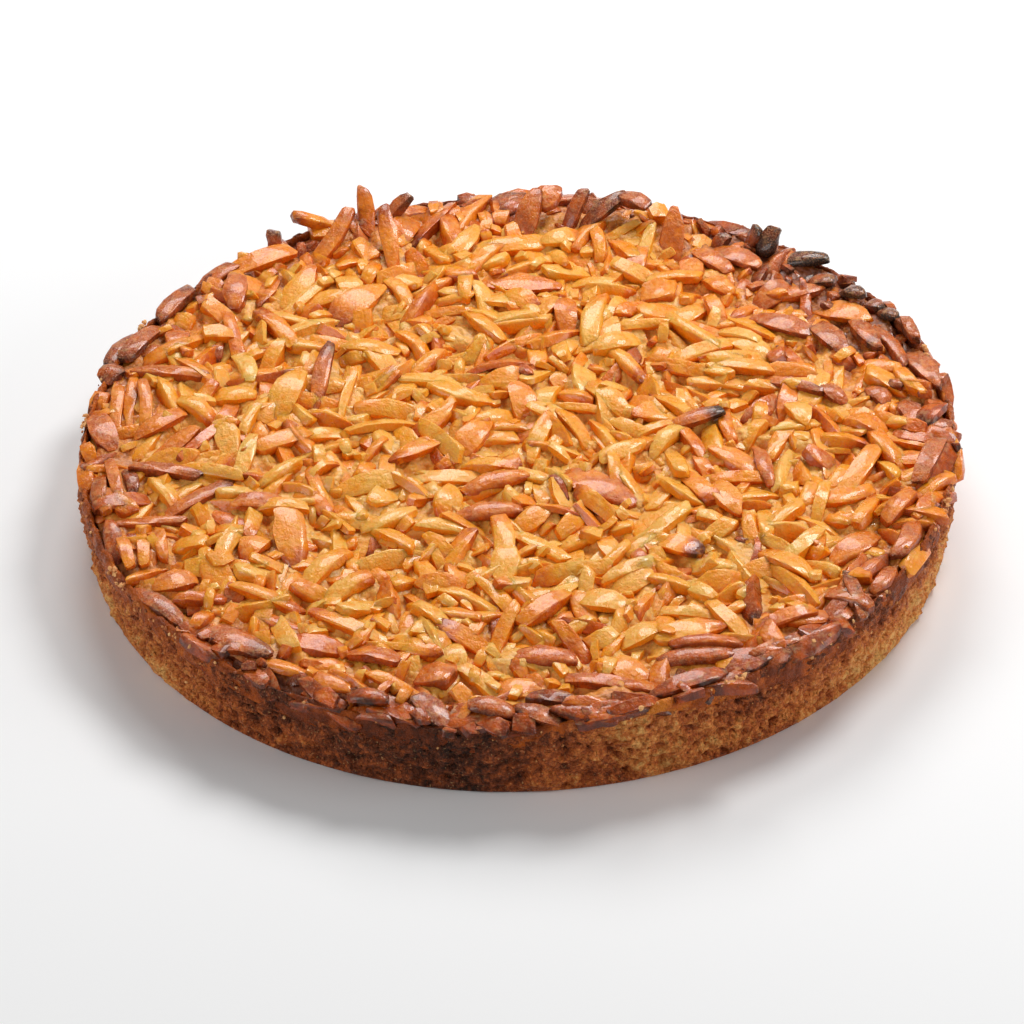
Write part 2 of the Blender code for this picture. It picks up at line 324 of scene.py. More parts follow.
crust = {
    "segments": 1080,
    "rowHeight": 0.5 * mm,
    # the side's rows start this far under the lip's top, and most of its lean is low down
    "sideBelow": 3 * mm,
    "sideLean": 0.7,
    # across the lip: shares of its width outward from its middle, and of its depth down
    "lipProfile": (
        (-0.36, 0.6), (-0.25, 0.3), (-0.08, 0.1), (0.1, 0.0), (0.22, 0.14), (0.3, 0.4),
        (0.44, 0.8),
    ),
    "underside": (0.985, 0.95, 0.85, 0.6, 0.3),
    "lumpDepth": 1.5 * mm,
    "lumpSize": 9.0 * mm,
    "crumbHeight": 1.4 * mm,
    "crumbSize": 4.2 * mm,
    "grainHeight": 1.1 * mm,
    "grainSize": 2.0 * mm,
    "pitDepth": 2.0 * mm,
    "pitSize": 4.6 * mm,
    # how wide the stretches are that are more open and sponge-like than others
    "openSize": 38 * mm,
    # all this fades out towards the foot, and less of it is on the lip
    "footFade": 2.5 * mm,
    "lipShare": 0.25,
    # how dark it baked, 0 pale to 1 dark, by azimuth: low on the side, then high on it; darkest
    # towards the front, where part of it is painted shade because that side faces away from the
    # lamps
    "bakedAndShadedLow": (
        (0, 0.24), (60, 0.45), (120, 0.50), (180, 0.26), (215, 0.24), (240, 0.56), (262, 0.78),
        (274, 0.42), (288, 0.26), (305, 0.32), (318, 0.08), (340, 0.12), (360, 0.24),
    ),
    "bakedAndShadedHigh": (
        (0, 0.54), (60, 0.70), (120, 0.66), (180, 0.56), (215, 0.54), (240, 0.74), (262, 0.88),
        (274, 0.50), (283, 0.08), (291, 0.42), (305, 0.70), (322, 0.66), (340, 0.60), (360, 0.54),
    ),
    # from pale to dark
    "colours": (
        (0.0, (254, 190, 108)), (0.22, (232, 138, 64)), (0.45, (189, 94, 40)),
        (0.7, (125, 59, 25)), (1.0, (54, 27, 14)),
    ),
    "sugarGrain": (238, 188, 128),
}


def shelfHeight(radius):
    low, high = tart["shelfHeight"], tart["lipHeight"] - tart["lipDepth"]
    inner = tart["rimRadius"] - tart["wallThickness"]
    share = (radius - inner) / (tart["wallThickness"] - tart["lipWidth"])
    return low + (high - low) * share


def crustProfile():
    rim, base, foot = tart["rimRadius"], tart["baseRadius"], tart["footRounding"]
    lipTop, lipWidth, lipDepth = tart["lipHeight"], tart["lipWidth"], tart["lipDepth"]
    floor, inner = tart["floorThickness"], rim - tart["wallThickness"]
    points = [(0, floor), (inner / 2, floor), (inner - tart["wallLean"], floor)]
    shelf = np.linspace(inner, rim - lipWidth, 7)
    points += [(radius, shelfHeight(radius)) for radius in shelf]
    for outward, down in crust["lipProfile"]:
        points.append((rim - lipWidth / 2 + lipWidth * outward, lipTop - lipDepth * down))
    top = lipTop - crust["sideBelow"]
    rows = int((top - foot) / crust["rowHeight"])
    for row in range(rows + 1):
        height = top + (foot - top) * row / rows
        points.append((base + (rim - base) * (height / top) ** crust["sideLean"], height))
    points += [(base - foot * 0.3, foot * 0.3), (base - foot, 0)]
    points += [(base * share, 0) for share in crust["underside"]]
    return points + [(0, 0)]


def makeCrust():
    mesh = turnedMesh("pastryCase", crustProfile(), crust["segments"])
    points = meshPoints(mesh)
    x, y, z = points.T
    radius, share = np.hypot(x, y), heightShare(x, y)
    outside = radius > tart["baseRadius"] * (1 - tart["ovalShare"]) - tart["footRounding"] * 0.8
    outside &= z > tart["footRounding"] * 0.1
    outer = points[outside]
    lumps = noiseAt(outer, crust["lumpSize"]) + 0.6 * noiseAt(outer, crust["lumpSize"] / 2.7)
    lumps = crust["lumpDepth"] * np.clip(0.4 + 0.9 * lumps, 0, 1)
    crumbly = noiseAt(outer, crust["crumbSize"], 3)
    grains = 0.45 - cellsAt(outer, crust["grainSize"])
    openness = smoothStep(-0.25, 0.35, noiseAt(outer, crust["openSize"]))
    pits = pitsAt(outer, crust["pitSize"]) * (0.35 + 0.65 * openness)
    # and pits of half the size, set off from them
    pits = np.maximum(pits, 0.7 * pitsAt(outer + 3 * mm, crust["pitSize"] * 0.5) * openness)
    depth = (
        lumps
        + crust["pitDepth"] * pits
        - crust["crumbHeight"] * crumbly
        - crust["grainHeight"] * grains
    ) * smoothStep(0, crust["footFade"], outer[:, 2])
    lipFrom = (tart["lipHeight"] - tart["lipDepth"]) * share - tart["lipDepth"] / 2
    onLip = outer[:, 2] > lipFrom[outside]
    inward = np.where(onLip, crust["lipShare"], 1.0) * depth / radius[outside]
    outer[:, :2] -= outer[:, :2] * inward[:, None]
    outer[:, 2] -= np.where(onLip, 0.5 * depth, 0)
    points[outside] = outer
    setPoints(mesh, points)
    azimuth = azimuthOf(x, y)
    high = smoothStep(0.25, 0.95, z / (tart["lipHeight"] * share))
    # darkness by azimuth, eased from the low table to the high one: real baking, and painted shade
    # at the front
    bakedAndShadedLow, bakedAndShadedHigh = (eased(crust[name], azimuth) for name in ("bakedAndShadedLow", "bakedAndShadedHigh"))
    addAttribute(mesh, "baked", bakedAndShadedLow * (1 - high) + bakedAndShadedHigh * high)
    for name, values in (
        ("pit", np.clip(pits + 0.25 * lumps / crust["lumpDepth"], 0, 1)),
        ("raised", grains + 0.6 * crumbly),
    ):
        everywhere = np.zeros(len(points))
        everywhere[outside] = values
        addAttribute(mesh, name, everywhere)
    addPiece(mesh, crustMaterial(), "crust", "crust")


def crustMaterial():
    recipe = Recipe("bakedPastry")
    place = recipe.place()
    patches = recipe.noise(place, 14 * mm, 4)
    grain = recipe.noise(place, 0.7 * mm, 3, 0.7)
    crumb = recipe.cells(place, 1.2 * mm)
    speck = recipe.noise(place, 3.2 * mm, 4, 0.65)
    pit = recipe.attribute("pit")
    # painted shade: darker in the pits and where lumps press in, and paler on the raised grains
    baked = recipe.total(
        recipe.attribute("baked"), (patches, 0.60), (grain, 0.55), (crumb, 0.20), (speck, 1.15),
        (recipe.attribute("raised"), -0.16), (pit, 0.22), shift=-1.26,
    )
    # the pits lie in their own shade
    lit = recipe.sums("MULTIPLY_ADD", pit, -0.45, 1.0, clamp=True)
    shade = recipe.mix(lit, (0.3, 0.2, 0.15, 1), (1, 1, 1, 1))
    colour = recipe.mix(1.0, recipe.ramp(baked, crust["colours"]), shade, "MULTIPLY")
    # single sugar grains catch the light
    sparkle = recipe.between(recipe.noise(place, 0.9 * mm, 2, 0.7), 0.62, 0.72, 0.0, 0.55)
    recipe.set(
        Base_Color=recipe.mix(sparkle, colour, sRgb(*crust["sugarGrain"])),
        Roughness=recipe.between(grain, 0.35, 0.65, 0.3, 0.8),
        Specular_IOR_Level=0.25,
        Normal=recipe.bumps(
            (grain, 0.7, 0.5 * mm), (crumb, 0.9, 0.9 * mm, True), (speck, 1.0, 2.6 * mm),
        ),
    )
    return recipe.material


# filling: the sugary mass that the almonds lie in

filling = {
    "segments": 640,
    "ringWidth": 1.0 * mm,
    "bedMiddle": 23.6 * mm,
    "bedEdge": 25.4 * mm,
    "edgeDepth": 0.8 * mm,
    "layRadius": 125 * mm,
    "underAlmonds": 1.2 * mm,
    "clearance": 0.35 * mm,
    # points above this height are on its top
    "topFrom": 20 * mm,
    "bumpHeight": 0.75 * mm,
    "bumpSize": 2.8 * mm,
    "swellSize": 15 * mm,
    "grainSize": 3.4 * mm,
    # how far the glaze climbs up the almonds, and how wide its fillets are
    "climb": 3.2 * mm,
    "belowTops": 0.7 * mm,
    "fillet": 1.3 * mm,
    # from pale to dark
    "colours": (
        (0.0, (245, 194, 106)), (0.3, (245, 168, 58)), (0.5, (224, 134, 36)),
        (0.75, (148, 71, 22)), (1.0, (66, 31, 14)),
    ),
}


def bedHeight(radius):
    share = np.minimum(1.0, radius / filling["layRadius"])
    nearLip = 1 - (tart["rimRadius"] - radius) / tart["lipWidth"] * 0.5
    rounded = filling["edgeDepth"] * np.maximum(0.0, nearLip)
    return filling["bedMiddle"] + (filling["bedEdge"] - filling["bedMiddle"]) * share**2 - rounded


def softened(grid, cells):
    # gaussian blur of a square grid, one direction after the other
    steps = np.arange(-int(cells * 3), int(cells * 3) + 1)
    weights = np.exp(-0.5 * (steps / cells) ** 2)
    weights /= weights.sum()
    for axis in (0, 1):
        grid = np.apply_along_axis(np.convolve, axis, grid, weights, "same")
    return grid


def makeFilling(surface):
    gap, floor = filling["clearance"], tart["floorThickness"]
    inner = tart["rimRadius"] - tart["wallThickness"] - gap
    edge = tart["rimRadius"] - tart["lipWidth"] - gap * 2
    sunk = filling["underAlmonds"]
    rings = np.linspace(0, edge, int(edge / filling["ringWidth"]))[1:]
    profile = [(0, bedHeight(0) - sunk)]
    profile += [(radius, bedHeight(radius) - sunk) for radius in rings[:-3]]
    profile += [(radius, bedHeight(radius) - gap) for radius in rings[-3:]]
    profile += [
        (edge, shelfHeight(edge) + gap * 1.2), (inner, tart["shelfHeight"] + gap * 1.2),
        (inner - tart["wallLean"], floor + gap), (inner * 0.5, floor + gap), (0, floor + gap),
    ]
    mesh = turnedMesh("fillingBed", profile, filling["segments"])
    points = meshPoints(mesh)
    radius = np.hypot(points[:, 0], points[:, 1])
    top = (points[:, 2] > filling["topFrom"]) & (radius < edge * 0.985)
    x, y, z = points[top].T
    # the glaze fills the gaps and climbs up the almonds
    blurred = softened(surface.height, filling["fillet"] / almonds["cell"])
    climbed = surface.sampled(blurred, x, y) - filling["belowTops"] - z
    raised = filling["climb"] * np.tanh(np.maximum(climbed, 0) / filling["climb"])
    bumps = noiseAt(points[top], filling["bumpSize"], 3)
    bumps += 0.5 * noiseAt(points[top], filling["swellSize"])
    bumps += 1.3 * (0.45 - cellsAt(points[top], filling["grainSize"]))
    points[top, 2] += raised + filling["bumpHeight"] * bumps
    setPoints(mesh, points)
    high = np.zeros(len(points))
    high[top] = raised / filling["climb"] + 0.4 * bumps
    addAttribute(mesh, "high", high)
    addAttribute(mesh, "baked", toastAt(points[:, 0], points[:, 1]))
    addPiece(mesh, fillingMaterial(), "almonds", "almond_filling")


def fillingMaterial():
    recipe = Recipe("custardGlaze")
    place = recipe.place()
    patches = recipe.noise(place, 8 * mm, 4)
    fine = recipe.noise(place, 1.3 * mm, 4, 0.65)
    # painted shade: darker in the bed's hollows, paler where it bulges and climbs up the almonds
    dark = recipe.total(
        recipe.attribute("baked"), (patches, 0.60), (fine, 0.40),
        (recipe.attribute("high"), -0.16), shift=-0.46,
    )
    recipe.set(
        Base_Color=recipe.ramp(dark, filling["colours"]),
        Roughness=recipe.between(patches, 0.3, 0.7, 0.3, 0.6),
        Subsurface_Weight=0.3,
        Subsurface_Radius=(1.0, 0.7, 0.45),
        Subsurface_Scale=2 * mm,
        Coat_Weight=0.25,
        Coat_Roughness=0.25,
        Normal=recipe.bumps(
            (fine, 0.8, 0.7 * mm), (recipe.cells(place, 1.7 * mm), 0.8, 0.8 * mm, True)
        ),
    )
    return recipe.material


# how browned the top is, from 0 pale to 1 dark brown: everywhere, and more on parts of the rim

browning = {
    "everywhere": 0.30,
    "ring": 0.30,
    "front": 0.26,
    "back": 0.17,
    "burnt": 0.40,
    # azimuth of the middle of the burnt stretch, and how far it spreads
    "burntAzimuth": 43,
    "burntSpread": 18,
    "right": 0.16,
    "rightSpot": (112 * mm, 25 * mm),
    "rightSpread": 30 * mm,
}


def burntShare(x, y):
    # 1 in the middle of the stretch of rim that burnt, 0 away from it
    outer = smoothStep(0.6, 0.92, np.hypot(x, y) / tart["rimRadius"])
    turn = (azimuthOf(x, y) - browning["burntAzimuth"]) / browning["burntSpread"]
    return outer * np.exp(-(turn**2))


def toastAt(x, y):
    radius = np.hypot(x, y) / tart["rimRadius"]
    azimuth = azimuthOf(x, y)
    atFront = smoothStep(200, 240, azimuth) * (1 - smoothStep(300, 340, azimuth))
    atBack = smoothStep(50, 80, azimuth) * (1 - smoothStep(110, 140, azimuth))
    spotX, spotY = browning["rightSpot"]
    fromSpot = ((x - spotX) ** 2 + (y - spotY) ** 2) / browning["rightSpread"] ** 2
    return (
        browning["everywhere"]
        + browning["ring"] * smoothStep(0.76, 1.0, radius)
        + browning["front"] * smoothStep(0.88, 0.98, radius) * atFront
        + browning["back"] * smoothStep(0.8, 0.97, radius) * atBack
        + browning["burnt"] * burntShare(x, y)
        + browning["right"] * np.exp(-fromSpot)
    )


# almonds

almonds = {
    "seed": 41,
    "cell": 1.0 * mm,
    # a first layer that hardly shows, then the one that does, each spread evenly
    "under": {
        "count": 360, "kinds": {"strip": 6, "block": 3, "half": 1.5}, "tries": 8,
        "most": filling["layRadius"] - 2 * mm, "keptLimit": 2.0, "shrink": 0.92,
    },
    "main": {
        "count": 800, "kinds": {"strip": 6.6, "block": 1.4, "half": 1.2, "flake": 1.6},
        "tries": 10, "most": filling["layRadius"] - 1 * mm, "keptLimit": 0.3, "shrink": 1.0,
    },
    # a row right over the lip's outer edge, then a ring inside it
    "lip": {"count": 40, "kinds": {"strip": 5, "half": 1, "block": 4}, "keptLimit": 0.6},
    "ring": {
        "count": 116, "kinds": {"strip": 5.5, "half": 1.6, "flake": 0.7, "block": 2},
        "keptLimit": 0.45,
    },
    # azimuths between which the pastry's own edge shows
    "bareLip": (292, 345),
    # small chips drop into the lowest of a few drawn places
    "chipCount": 460,
    "chipTries": 7,
    # how much darker the lip's pieces are at the front, where that is, and their darkest
    "frontDark": 0.30,
    "frontAzimuth": 268,
    "frontSpread": 30,
    "lipDarkest": 0.74,
    # how many are browner than their place, dark at one end, or tilted only a little
    "browner": 0.10,
    "darkTipped": 0.34,
    "flat": 0.6,
    # share of its thickness that a piece sinks in, and how steep it may lie in degrees
    "sunk": 0.36,
    "steepest": 40,
    "crest": 36.4 * mm,
    # nothing but the ones that stand out comes higher above the bed than this: middle, edge
    "highest": (5.2 * mm, 4.6 * mm),
    "overhang": 0.9 * mm,
    # length, width, thickness in millimetres: shortest and longest
    "strip": ((14, 24), (4.0, 6.6), (2.8, 4.6)),
    "half": ((15, 21), (5.4, 8.0), (2.6, 3.8)),
    "flake": ((14, 22), (6.8, 9.8), (1.8, 2.6)),
    "block": ((6, 10), (4.4, 6.6), (3.0, 4.6)),
    "chip": ((4, 8), (2.4, 4.0), (2.0, 3.0)),
    "standingThickness": {"flake": 2.0, "half": 2.9, "strip": 3.1, "block": 3.7},
    # those that stand out nearer than this lie on the front lip, less dark at their ends
    "frontFrom": -70,
}


# the ones that stand out, in millimetres: from x, y to x, y, width, rise of the far end, kind,
# how toasted, how much darker its far end is
standingOut = (
    (-46, 110, -47, 121, 5.5, 13, "strip", 0.46, 0.3),
    (-74, 102, -74, 106, 4.5, 7, "strip", 0.70, 0.5),
    (-83, 96, -83, 99, 4.0, 3, "block", 0.35, 0.0),
    (-37, 88, -40, 110, 5.5, 11, "half", 0.48, 0.45),
    (-39, 86, -33, 69, 5.0, 0, "strip", 0.36, 0.0),
    (-62, 95, -50, 113, 5.5, 9, "strip", 0.54, 0.15),
    (-39, 115, -32, 119, 5.0, 7, "strip", 0.72, 0.4),
    (-63, 111, -54, 112, 8.5, 0, "block", 0.40, 0.0),
    (-56, 112, -68, 113, 4.0, 4, "strip", 0.36, 0.5),
    (-40, 80, -56, 62, 12.0, -2, "flake", 0.42, 0.55),
    (-89, 90, -68, 100, 8.0, 2, "strip", 0.50, 0.0),
    (-85, 89, -85, 70, 8.0, 0, "half", 0.62, 0.0),
    (-98, 82, -108, 65, 6.0, 1, "strip", 0.74, 0.0),
    (-108, 64, -118, 46, 6.0, 1, "strip", 0.74, 0.1),
    (-114, 62, -123, 45, 5.5, 2, "strip", 0.86, 0.1),
    (-124, 36, -120, 44, 8.0, 0, "half", 0.82, 0.0),
    (-121, 12, -119, 34, 4.0, 2, "strip", 0.50, 0.0),
    (-116, 14, -115, 38, 4.0, 2, "strip", 0.52, 0.0),
    (-111, 13, -112, 33, 4.0, 2, "strip", 0.52, 0.1),
    (-126, 24, -121, 2, 8.0, 1, "flake", 0.64, 0.1),
    (-115, 40, -93, 36, 5.0, 0, "strip", 0.62, 0.0),
    (-114, 8, -99, 20, 7.0, 1, "flake", 0.55, 0.0),
    (-60, 19, -57, 46, 5.5, 7, "half", 0.62, 0.4),
    (1, 104, 8, 118, 8.0, 11, "flake", 0.64, 0.1),
    (7, 113, 15, 119, 10.0, 3, "flake", 0.62, 0.0),
    (16, 108, 22, 118, 4.5, 11, "strip", 0.70, 0.2),
    (20, 108, 35, 116, 6.5, 9, "flake", 0.90, 0.1),
    (33, 116, 42, 108, 6.0, 2, "strip", 0.78, 0.0),
    (48, 94, 50, 109, 7.5, 11, "flake", 0.60, 0.1),
    (42, 112, 48, 113, 7.0, 0, "block", 0.30, 0.0),
    (54, 104, 61, 101, 7.0, 0, "block", 0.34, 0.0),
    (62, 99, 65, 101, 5.0, 6, "strip", 0.74, 0.3),
    (72, 97, 75, 98, 5.0, 7, "strip", 0.84, 0.3),
    (76, 92, 80, 97, 6.0, 8, "strip", 1.16, 0.0),
    (80, 90, 96, 84, 6.5, 5, "half", 1.24, 0.1),
    (89, 78, 97, 73, 6.5, 5, "half", 0.86, 0.1),
    (99, 70, 105, 62, 6.0, 5, "half", 1.18, 0.0),
    (105, 64, 111, 59, 5.5, 4, "strip", 0.90, 0.1),
    (109, 60, 114, 52, 5.5, 4, "half", 1.16, 0.0),
    (115, 55, 119, 44, 4.5, 4, "strip", 0.86, 0.0),
    (117, 50, 120, 38, 4.0, 1, "strip", 0.82, 0.0),
    (54, 97, 66, 83, 7.0, 2, "flake", 0.60, 0.0),
    (61, 98, 74, 84, 7.5, 3, "flake", 0.64, 0.0),
    (58, 82, 66, 71, 7.0, 2, "half", 0.52, 0.0),
    (71, 62, 89, 48, 7.5, 2, "flake", 0.66, 0.0),
    (88, 58, 98, 38, 8.0, 3, "flake", 0.74, 0.1),
    (100, 57, 109, 37, 7.0, 3, "half", 0.72, 0.1),
    (107, 51, 116, 30, 4.0, 2, "strip", 0.72, 0.0),
    (117, 38, 125, 17, 7.0, 2, "flake", 0.70, 0.05),
    (50, 87, 58, 86, 9.0, 0, "block", 0.52, 0.0),
    (-10, 84, 14, 77, 9.0, 1, "flake", 0.54, 0.1),
    (38, 74, 49, 74, 11.0, 1, "block", 0.46, 0.0),
    (40, 81, 57, 81, 4.0, 0, "strip", 0.34, 0.0),
    (27, 47, 38, 27, 5.0, 0, "half", 0.32, 0.55),
    (43, 6, 60, 10, 6.0, 3, "half", 0.62, 1.0),
    (50, 28, 69, 26, 5.0, 0, "strip", 0.28, 0.0),
    (58, 34, 76, 31, 5.0, 0, "strip", 0.30, 0.0),
    (89, 24, 97, 14, 6.0, 0, "half", 0.68, 0.0),
    (103, 21, 110, 14, 7.0, 0, "half", 0.68, 0.0),
    (113, 15, 117, 6, 7.0, 0, "block", 0.74, 0.0),
    (-121, -3, -117, -24, 4.0, 1, "strip", 0.58, 0.1),
    (-116, -5, -114, -18, 4.5, 1, "strip", 0.92, 0.0),
    (-114, -6, -94, -12, 5.0, 0, "strip", 0.72, 0.0),
    (-104, -28, -84, -14, 5.0, 1, "strip", 0.62, 0.45),
    (-121, -33, -98, -31, 4.0, 0, "strip", 0.62, 0.0),
    (-117, -37, -113, -54, 4.0, 1, "strip", 0.52, 0.0),
    (-111, -36, -109, -52, 4.0, 1, "strip", 0.44, 0.0),
    (-105, -35, -103, -50, 4.0, 1, "strip", 0.52, 0.0),
    (-68, -32, -65, -54, 10.0, -5, "half", 0.42, 0.35),
    (-107, -62, -94, -57, 9.0, 0, "flake", 0.54, 0.0),
    (-113, -60, -97, -78, 6.5, 1, "half", 0.76, 0.1),
    (-91, -80, -72, -95, 9.0, 1, "half", 0.70, 0.35),
    (-68, -87, -51, -91, 8.0, 0, "strip", 0.60, 0.0),
    (-40, -90, -62, -74, 5.0, 0, "strip", 0.32, 0.6),
    (-31, -104, -21, -107, 10.0, 2, "block", 0.62, 0.0),
    (-51, -113, -39, -118, 6.0, 1, "half", 0.78, 0.1),
    (-33, -12, -10, -13, 6.0, 0, "strip", 0.14, 0.0),
    (-18, -22, 2, -16, 7.0, 1, "half", 0.56, 0.0),
    (-20, -32, 0, -33, 7.0, 1, "half", 0.60, 0.0),
    (12, -11, 32, -31, 11.0, 2, "flake", 0.58, 0.1),
    (38, -47, 51, -55, 8.0, 1, "flake", 0.36, 0.9),
    (69, -5, 73, -26, 5.0, 1, "half", 0.62, 0.0),
    (56, -23, 63, -40, 8.0, 1, "flake", 0.42, 0.1),
    (87, -63, 101, -49, 9.0, 2, "flake", 0.54, 0.1),
    (104, -46, 113, -33, 6.0, 1, "block", 0.58, 0.0),
    (93, -31, 104, -9, 6.0, 1, "strip", 0.38, 0.1),
    (115, -29, 122, -10, 6.0, 1, "strip", 0.70, 0.0),
    (113, -45, 107, -63, 6.0, 2, "strip", 0.66, 0.0),
    (106, -64, 98, -77, 5.0, 1, "strip", 0.66, 0.0),
    (52, -77, 63, -95, 5.0, 0, "strip", 0.26, 0.0),
    (36, -102, 59, -103, 7.5, 1, "half", 0.70, 0.1),
    (40, -98, 60, -99, 4.0, 0, "strip", 0.64, 0.0),
    (-5, -96, 14, -101, 8.0, 1, "half", 0.62, 0.15),
    (21, -99, 34, -110, 10.0, 0, "half", 0.44, 0.1),
    (10, -108, 33, -114, 5.0, 0, "strip", 0.64, 0.0),
    (0, -115, 12, -119, 6.0, 1, "strip", 0.92, 0.0),
    (33, -118, 56, -112, 6.5, 2, "flake", 0.80, 0.0),
    (-17, -118, -4, -124, 7.0, -1, "half", 0.72, 0.0),
    (-4, -121, 9, -126, 6.5, -2, "half", 0.80, 0.0),
)


class TopSurface:
    # height of whatever lies on top so far, on a square grid

    def __init__(self):
        self.reach = tart["rimRadius"] + 9 * mm
        self.ticks = np.arange(-self.reach, self.reach, almonds["cell"])
        self.x, self.y = np.meshgrid(self.ticks, self.ticks)
        radius = np.hypot(self.x, self.y)
        onLip = (radius > tart["rimRadius"] - tart["lipWidth"]) & (radius < tart["rimRadius"])
        height = np.where(onLip, tart["lipHeight"], bedHeight(radius) - filling["underAlmonds"])
        self.height = height * heightShare(self.x, self.y)
        self.kept = np.zeros(self.x.shape, bool)

    def tick(self, place):
        return (place + self.reach) / almonds["cell"]

    def sampled(self, grid, x, y):
        # value of a grid between its ticks
        column = np.clip(self.tick(x), 0, grid.shape[1] - 1.001)
        row = np.clip(self.tick(y), 0, grid.shape[0] - 1.001)
        left, low = column.astype(int), row.astype(int)
        across, up = column - left, row - low
        lower = grid[low, left] * (1 - across) + grid[low, left + 1] * across
        upper = grid[low + 1, left] * (1 - across) + grid[low + 1, left + 1] * across
        return lower * (1 - up) + upper * up

    def span(self, middle, half):
        ends = (int(self.tick(middle + side * half)) for side in (-1, 1))
        return slice(*(max(0, end) for end in ends))

    def window(self, piece):
        half = math.hypot(piece.length, piece.width) / 2
        rows, columns = self.span(piece.y, half), self.span(piece.x, half)
        dx, dy = self.x[rows, columns] - piece.x, self.y[rows, columns] - piece.y
        along = dx * math.cos(piece.yaw) + dy * math.sin(piece.yaw)
        across = dy * math.cos(piece.yaw) - dx * math.sin(piece.yaw)
        covered = (np.abs(along) < piece.length / 2) & (np.abs(across) < piece.width / 2)
        return rows, columns, along, across, covered

    def keptShare(self, piece):
        rows, columns, _, _, covered = self.window(piece)
        return self.kept[rows, columns][covered].mean() if covered.any() else 1.0

    def keep(self, piece):
        rows, columns, _, _, covered = self.window(piece)
        self.kept[rows, columns] |= covered

    def rest(self, piece):
        # lays the piece down on what is there, leaning as its two ends are held up
        rows, columns, along, across, covered = self.window(piece)
        height = self.height[rows, columns]
        if not covered.any():
            return False
        steepest = math.radians(almonds["steepest"])
        if piece.rise is None:
            near = height[covered & (along <= -piece.length * 0.15)]
            far = height[covered & (along >= piece.length * 0.15)]
            if len(near) and len(far):
                lean = math.atan2(far.mean() - near.mean(), piece.length * 0.6)
                piece.pitch = max(-steepest, min(steepest, piece.pitch + 0.8 * lean))
        level = np.percentile(height[covered], 55)
        piece.z = level + piece.thickness * (0.5 - almonds["sunk"])
        if piece.rise:
            piece.z += abs(math.sin(piece.pitch)) * piece.length * 0.3
        tip = abs(math.sin(piece.pitch)) * piece.length / 2
        if piece.standing:
            highest = almonds["crest"] - tip
        else:
            radius = math.hypot(piece.x, piece.y)
            middle, edge = almonds["highest"]
            above = middle + (edge - middle) * smoothStep(0.8, 0.96, radius / tart["rimRadius"])
            tip += abs(math.sin(piece.roll)) * piece.width / 2
            highest = (bedHeight(radius) + above) * heightShare(piece.x, piece.y) - tip * 0.8
        piece.z = min(piece.z, highest - piece.thickness / 2)
        top = piece.z + along * math.tan(piece.pitch) + across * math.tan(piece.roll)
        top += piece.thickness * 0.42
        height[covered] = np.maximum(height, top)[covered]
        return True

    def laid(self, piece, keptLimit):
        # lays it down unless too much of its place is kept for the ones that stand out
        return self.keptShare(piece) < keptLimit and self.rest(piece)


def standingPieces(draw):
    for x0, y0, x1, y1, width, rise, kind, toast, tipDark in standingOut:
        run = math.hypot(x1 - x0, y1 - y0)
        atFront = y0 < almonds["frontFrom"]
        yield SimpleNamespace(
            kind=kind, x=(x0 + x1) / 2 * mm, y=(y0 + y1) / 2 * mm,
            yaw=math.atan2(y1 - y0, x1 - x0), pitch=math.atan2(rise, run), roll=0.0, rise=rise,
            length=math.hypot(run, rise) * mm, width=width * mm,
            thickness=almonds["standingThickness"][kind] * mm, toast=toast,
            tipDark=tipDark * (0.6 if atFront else 1),
            tone=draw.uniform(0.5, 1.0) - (0.4 if atFront else 0), shape=draw.random(),
            standing=True,
        )


def drawnPiece(draw, kind, x, y, shrink=1.0):
    toast = float(toastAt(x, y)) + draw.gauss(-0.03, 0.12)
    if draw.random() < almonds["browner"]:
        toast += draw.uniform(0.10, 0.30)
    piece = SimpleNamespace(
        kind="block" if kind == "chip" else kind, x=x, y=y, yaw=draw.uniform(0, math.tau),
        pitch=math.radians(draw.gauss(0, 12)),
        roll=math.radians(draw.gauss(0, 14 if draw.random() < almonds["flat"] else 42)), rise=None,
        toast=min(toast, 0.84 + 0.1 * float(burntShare(x, y))), standing=False,
    )
    for side, span in zip(("length", "width", "thickness"), almonds[kind]):
        setattr(piece, side, draw.uniform(*span) * mm * shrink)
    tips = (0.15, 0.5) if draw.random() < almonds["darkTipped"] else (-0.08, 0.1)
    piece.tipDark = draw.uniform(*tips)
    # pinker near the rim, most of all at the back
    nearRim = max(0, math.hypot(x, y) / tart["rimRadius"] - 0.75) / 0.25
    piece.tone = min(1, max(0, draw.gauss(0.28 + (0.15 if y > 0 else 0.05) * nearRim, 0.22)))
    piece.shape = draw.random()
    return piece


def drawnKind(draw, shares):
    choice = draw.random() * sum(shares.values())
    for kind, share in shares.items():
        choice -= share
        if choice <= 0:
            break
    return kind


def drawnPlace(draw, most):
    # a place at random on a disc, as its radius, x and y
    radius = most * math.sqrt(draw.random())
    azimuth = draw.uniform(0, math.tau)
    return radius, radius * math.cos(azimuth), radius * math.sin(azimuth)


def spreadPieces(draw, surface, count, kinds, tries, most, keptLimit, shrink):
    # pieces spread evenly: of a few drawn places, each takes the one furthest from the others
    middles = np.full((count, 2), 9.0)
    for number in range(count):
        best, bestGap = None, -1.0
        for _ in range(tries):
            _, x, y = drawnPlace(draw, most)
            gap = np.hypot(middles[:, 0] - x, middles[:, 1] - y).min()
            if gap > bestGap:
                best, bestGap = (x, y), gap
        middles[number] = best
        piece = drawnPiece(draw, drawnKind(draw, kinds), *best, shrink)
        turnAtLip(piece)
        if surface.laid(piece, keptLimit):
            yield piece


def turnAtLip(piece):
    # near the lip a piece lies along it, so that it doesn't stick out into the air
    azimuth = math.atan2(piece.y, piece.x)
    outward = abs(math.cos(piece.yaw - azimuth)) * piece.length / 2
    if math.hypot(piece.x, piece.y) + outward > tart["rimRadius"] + almonds["overhang"]:
        piece.yaw = azimuth + math.pi / 2


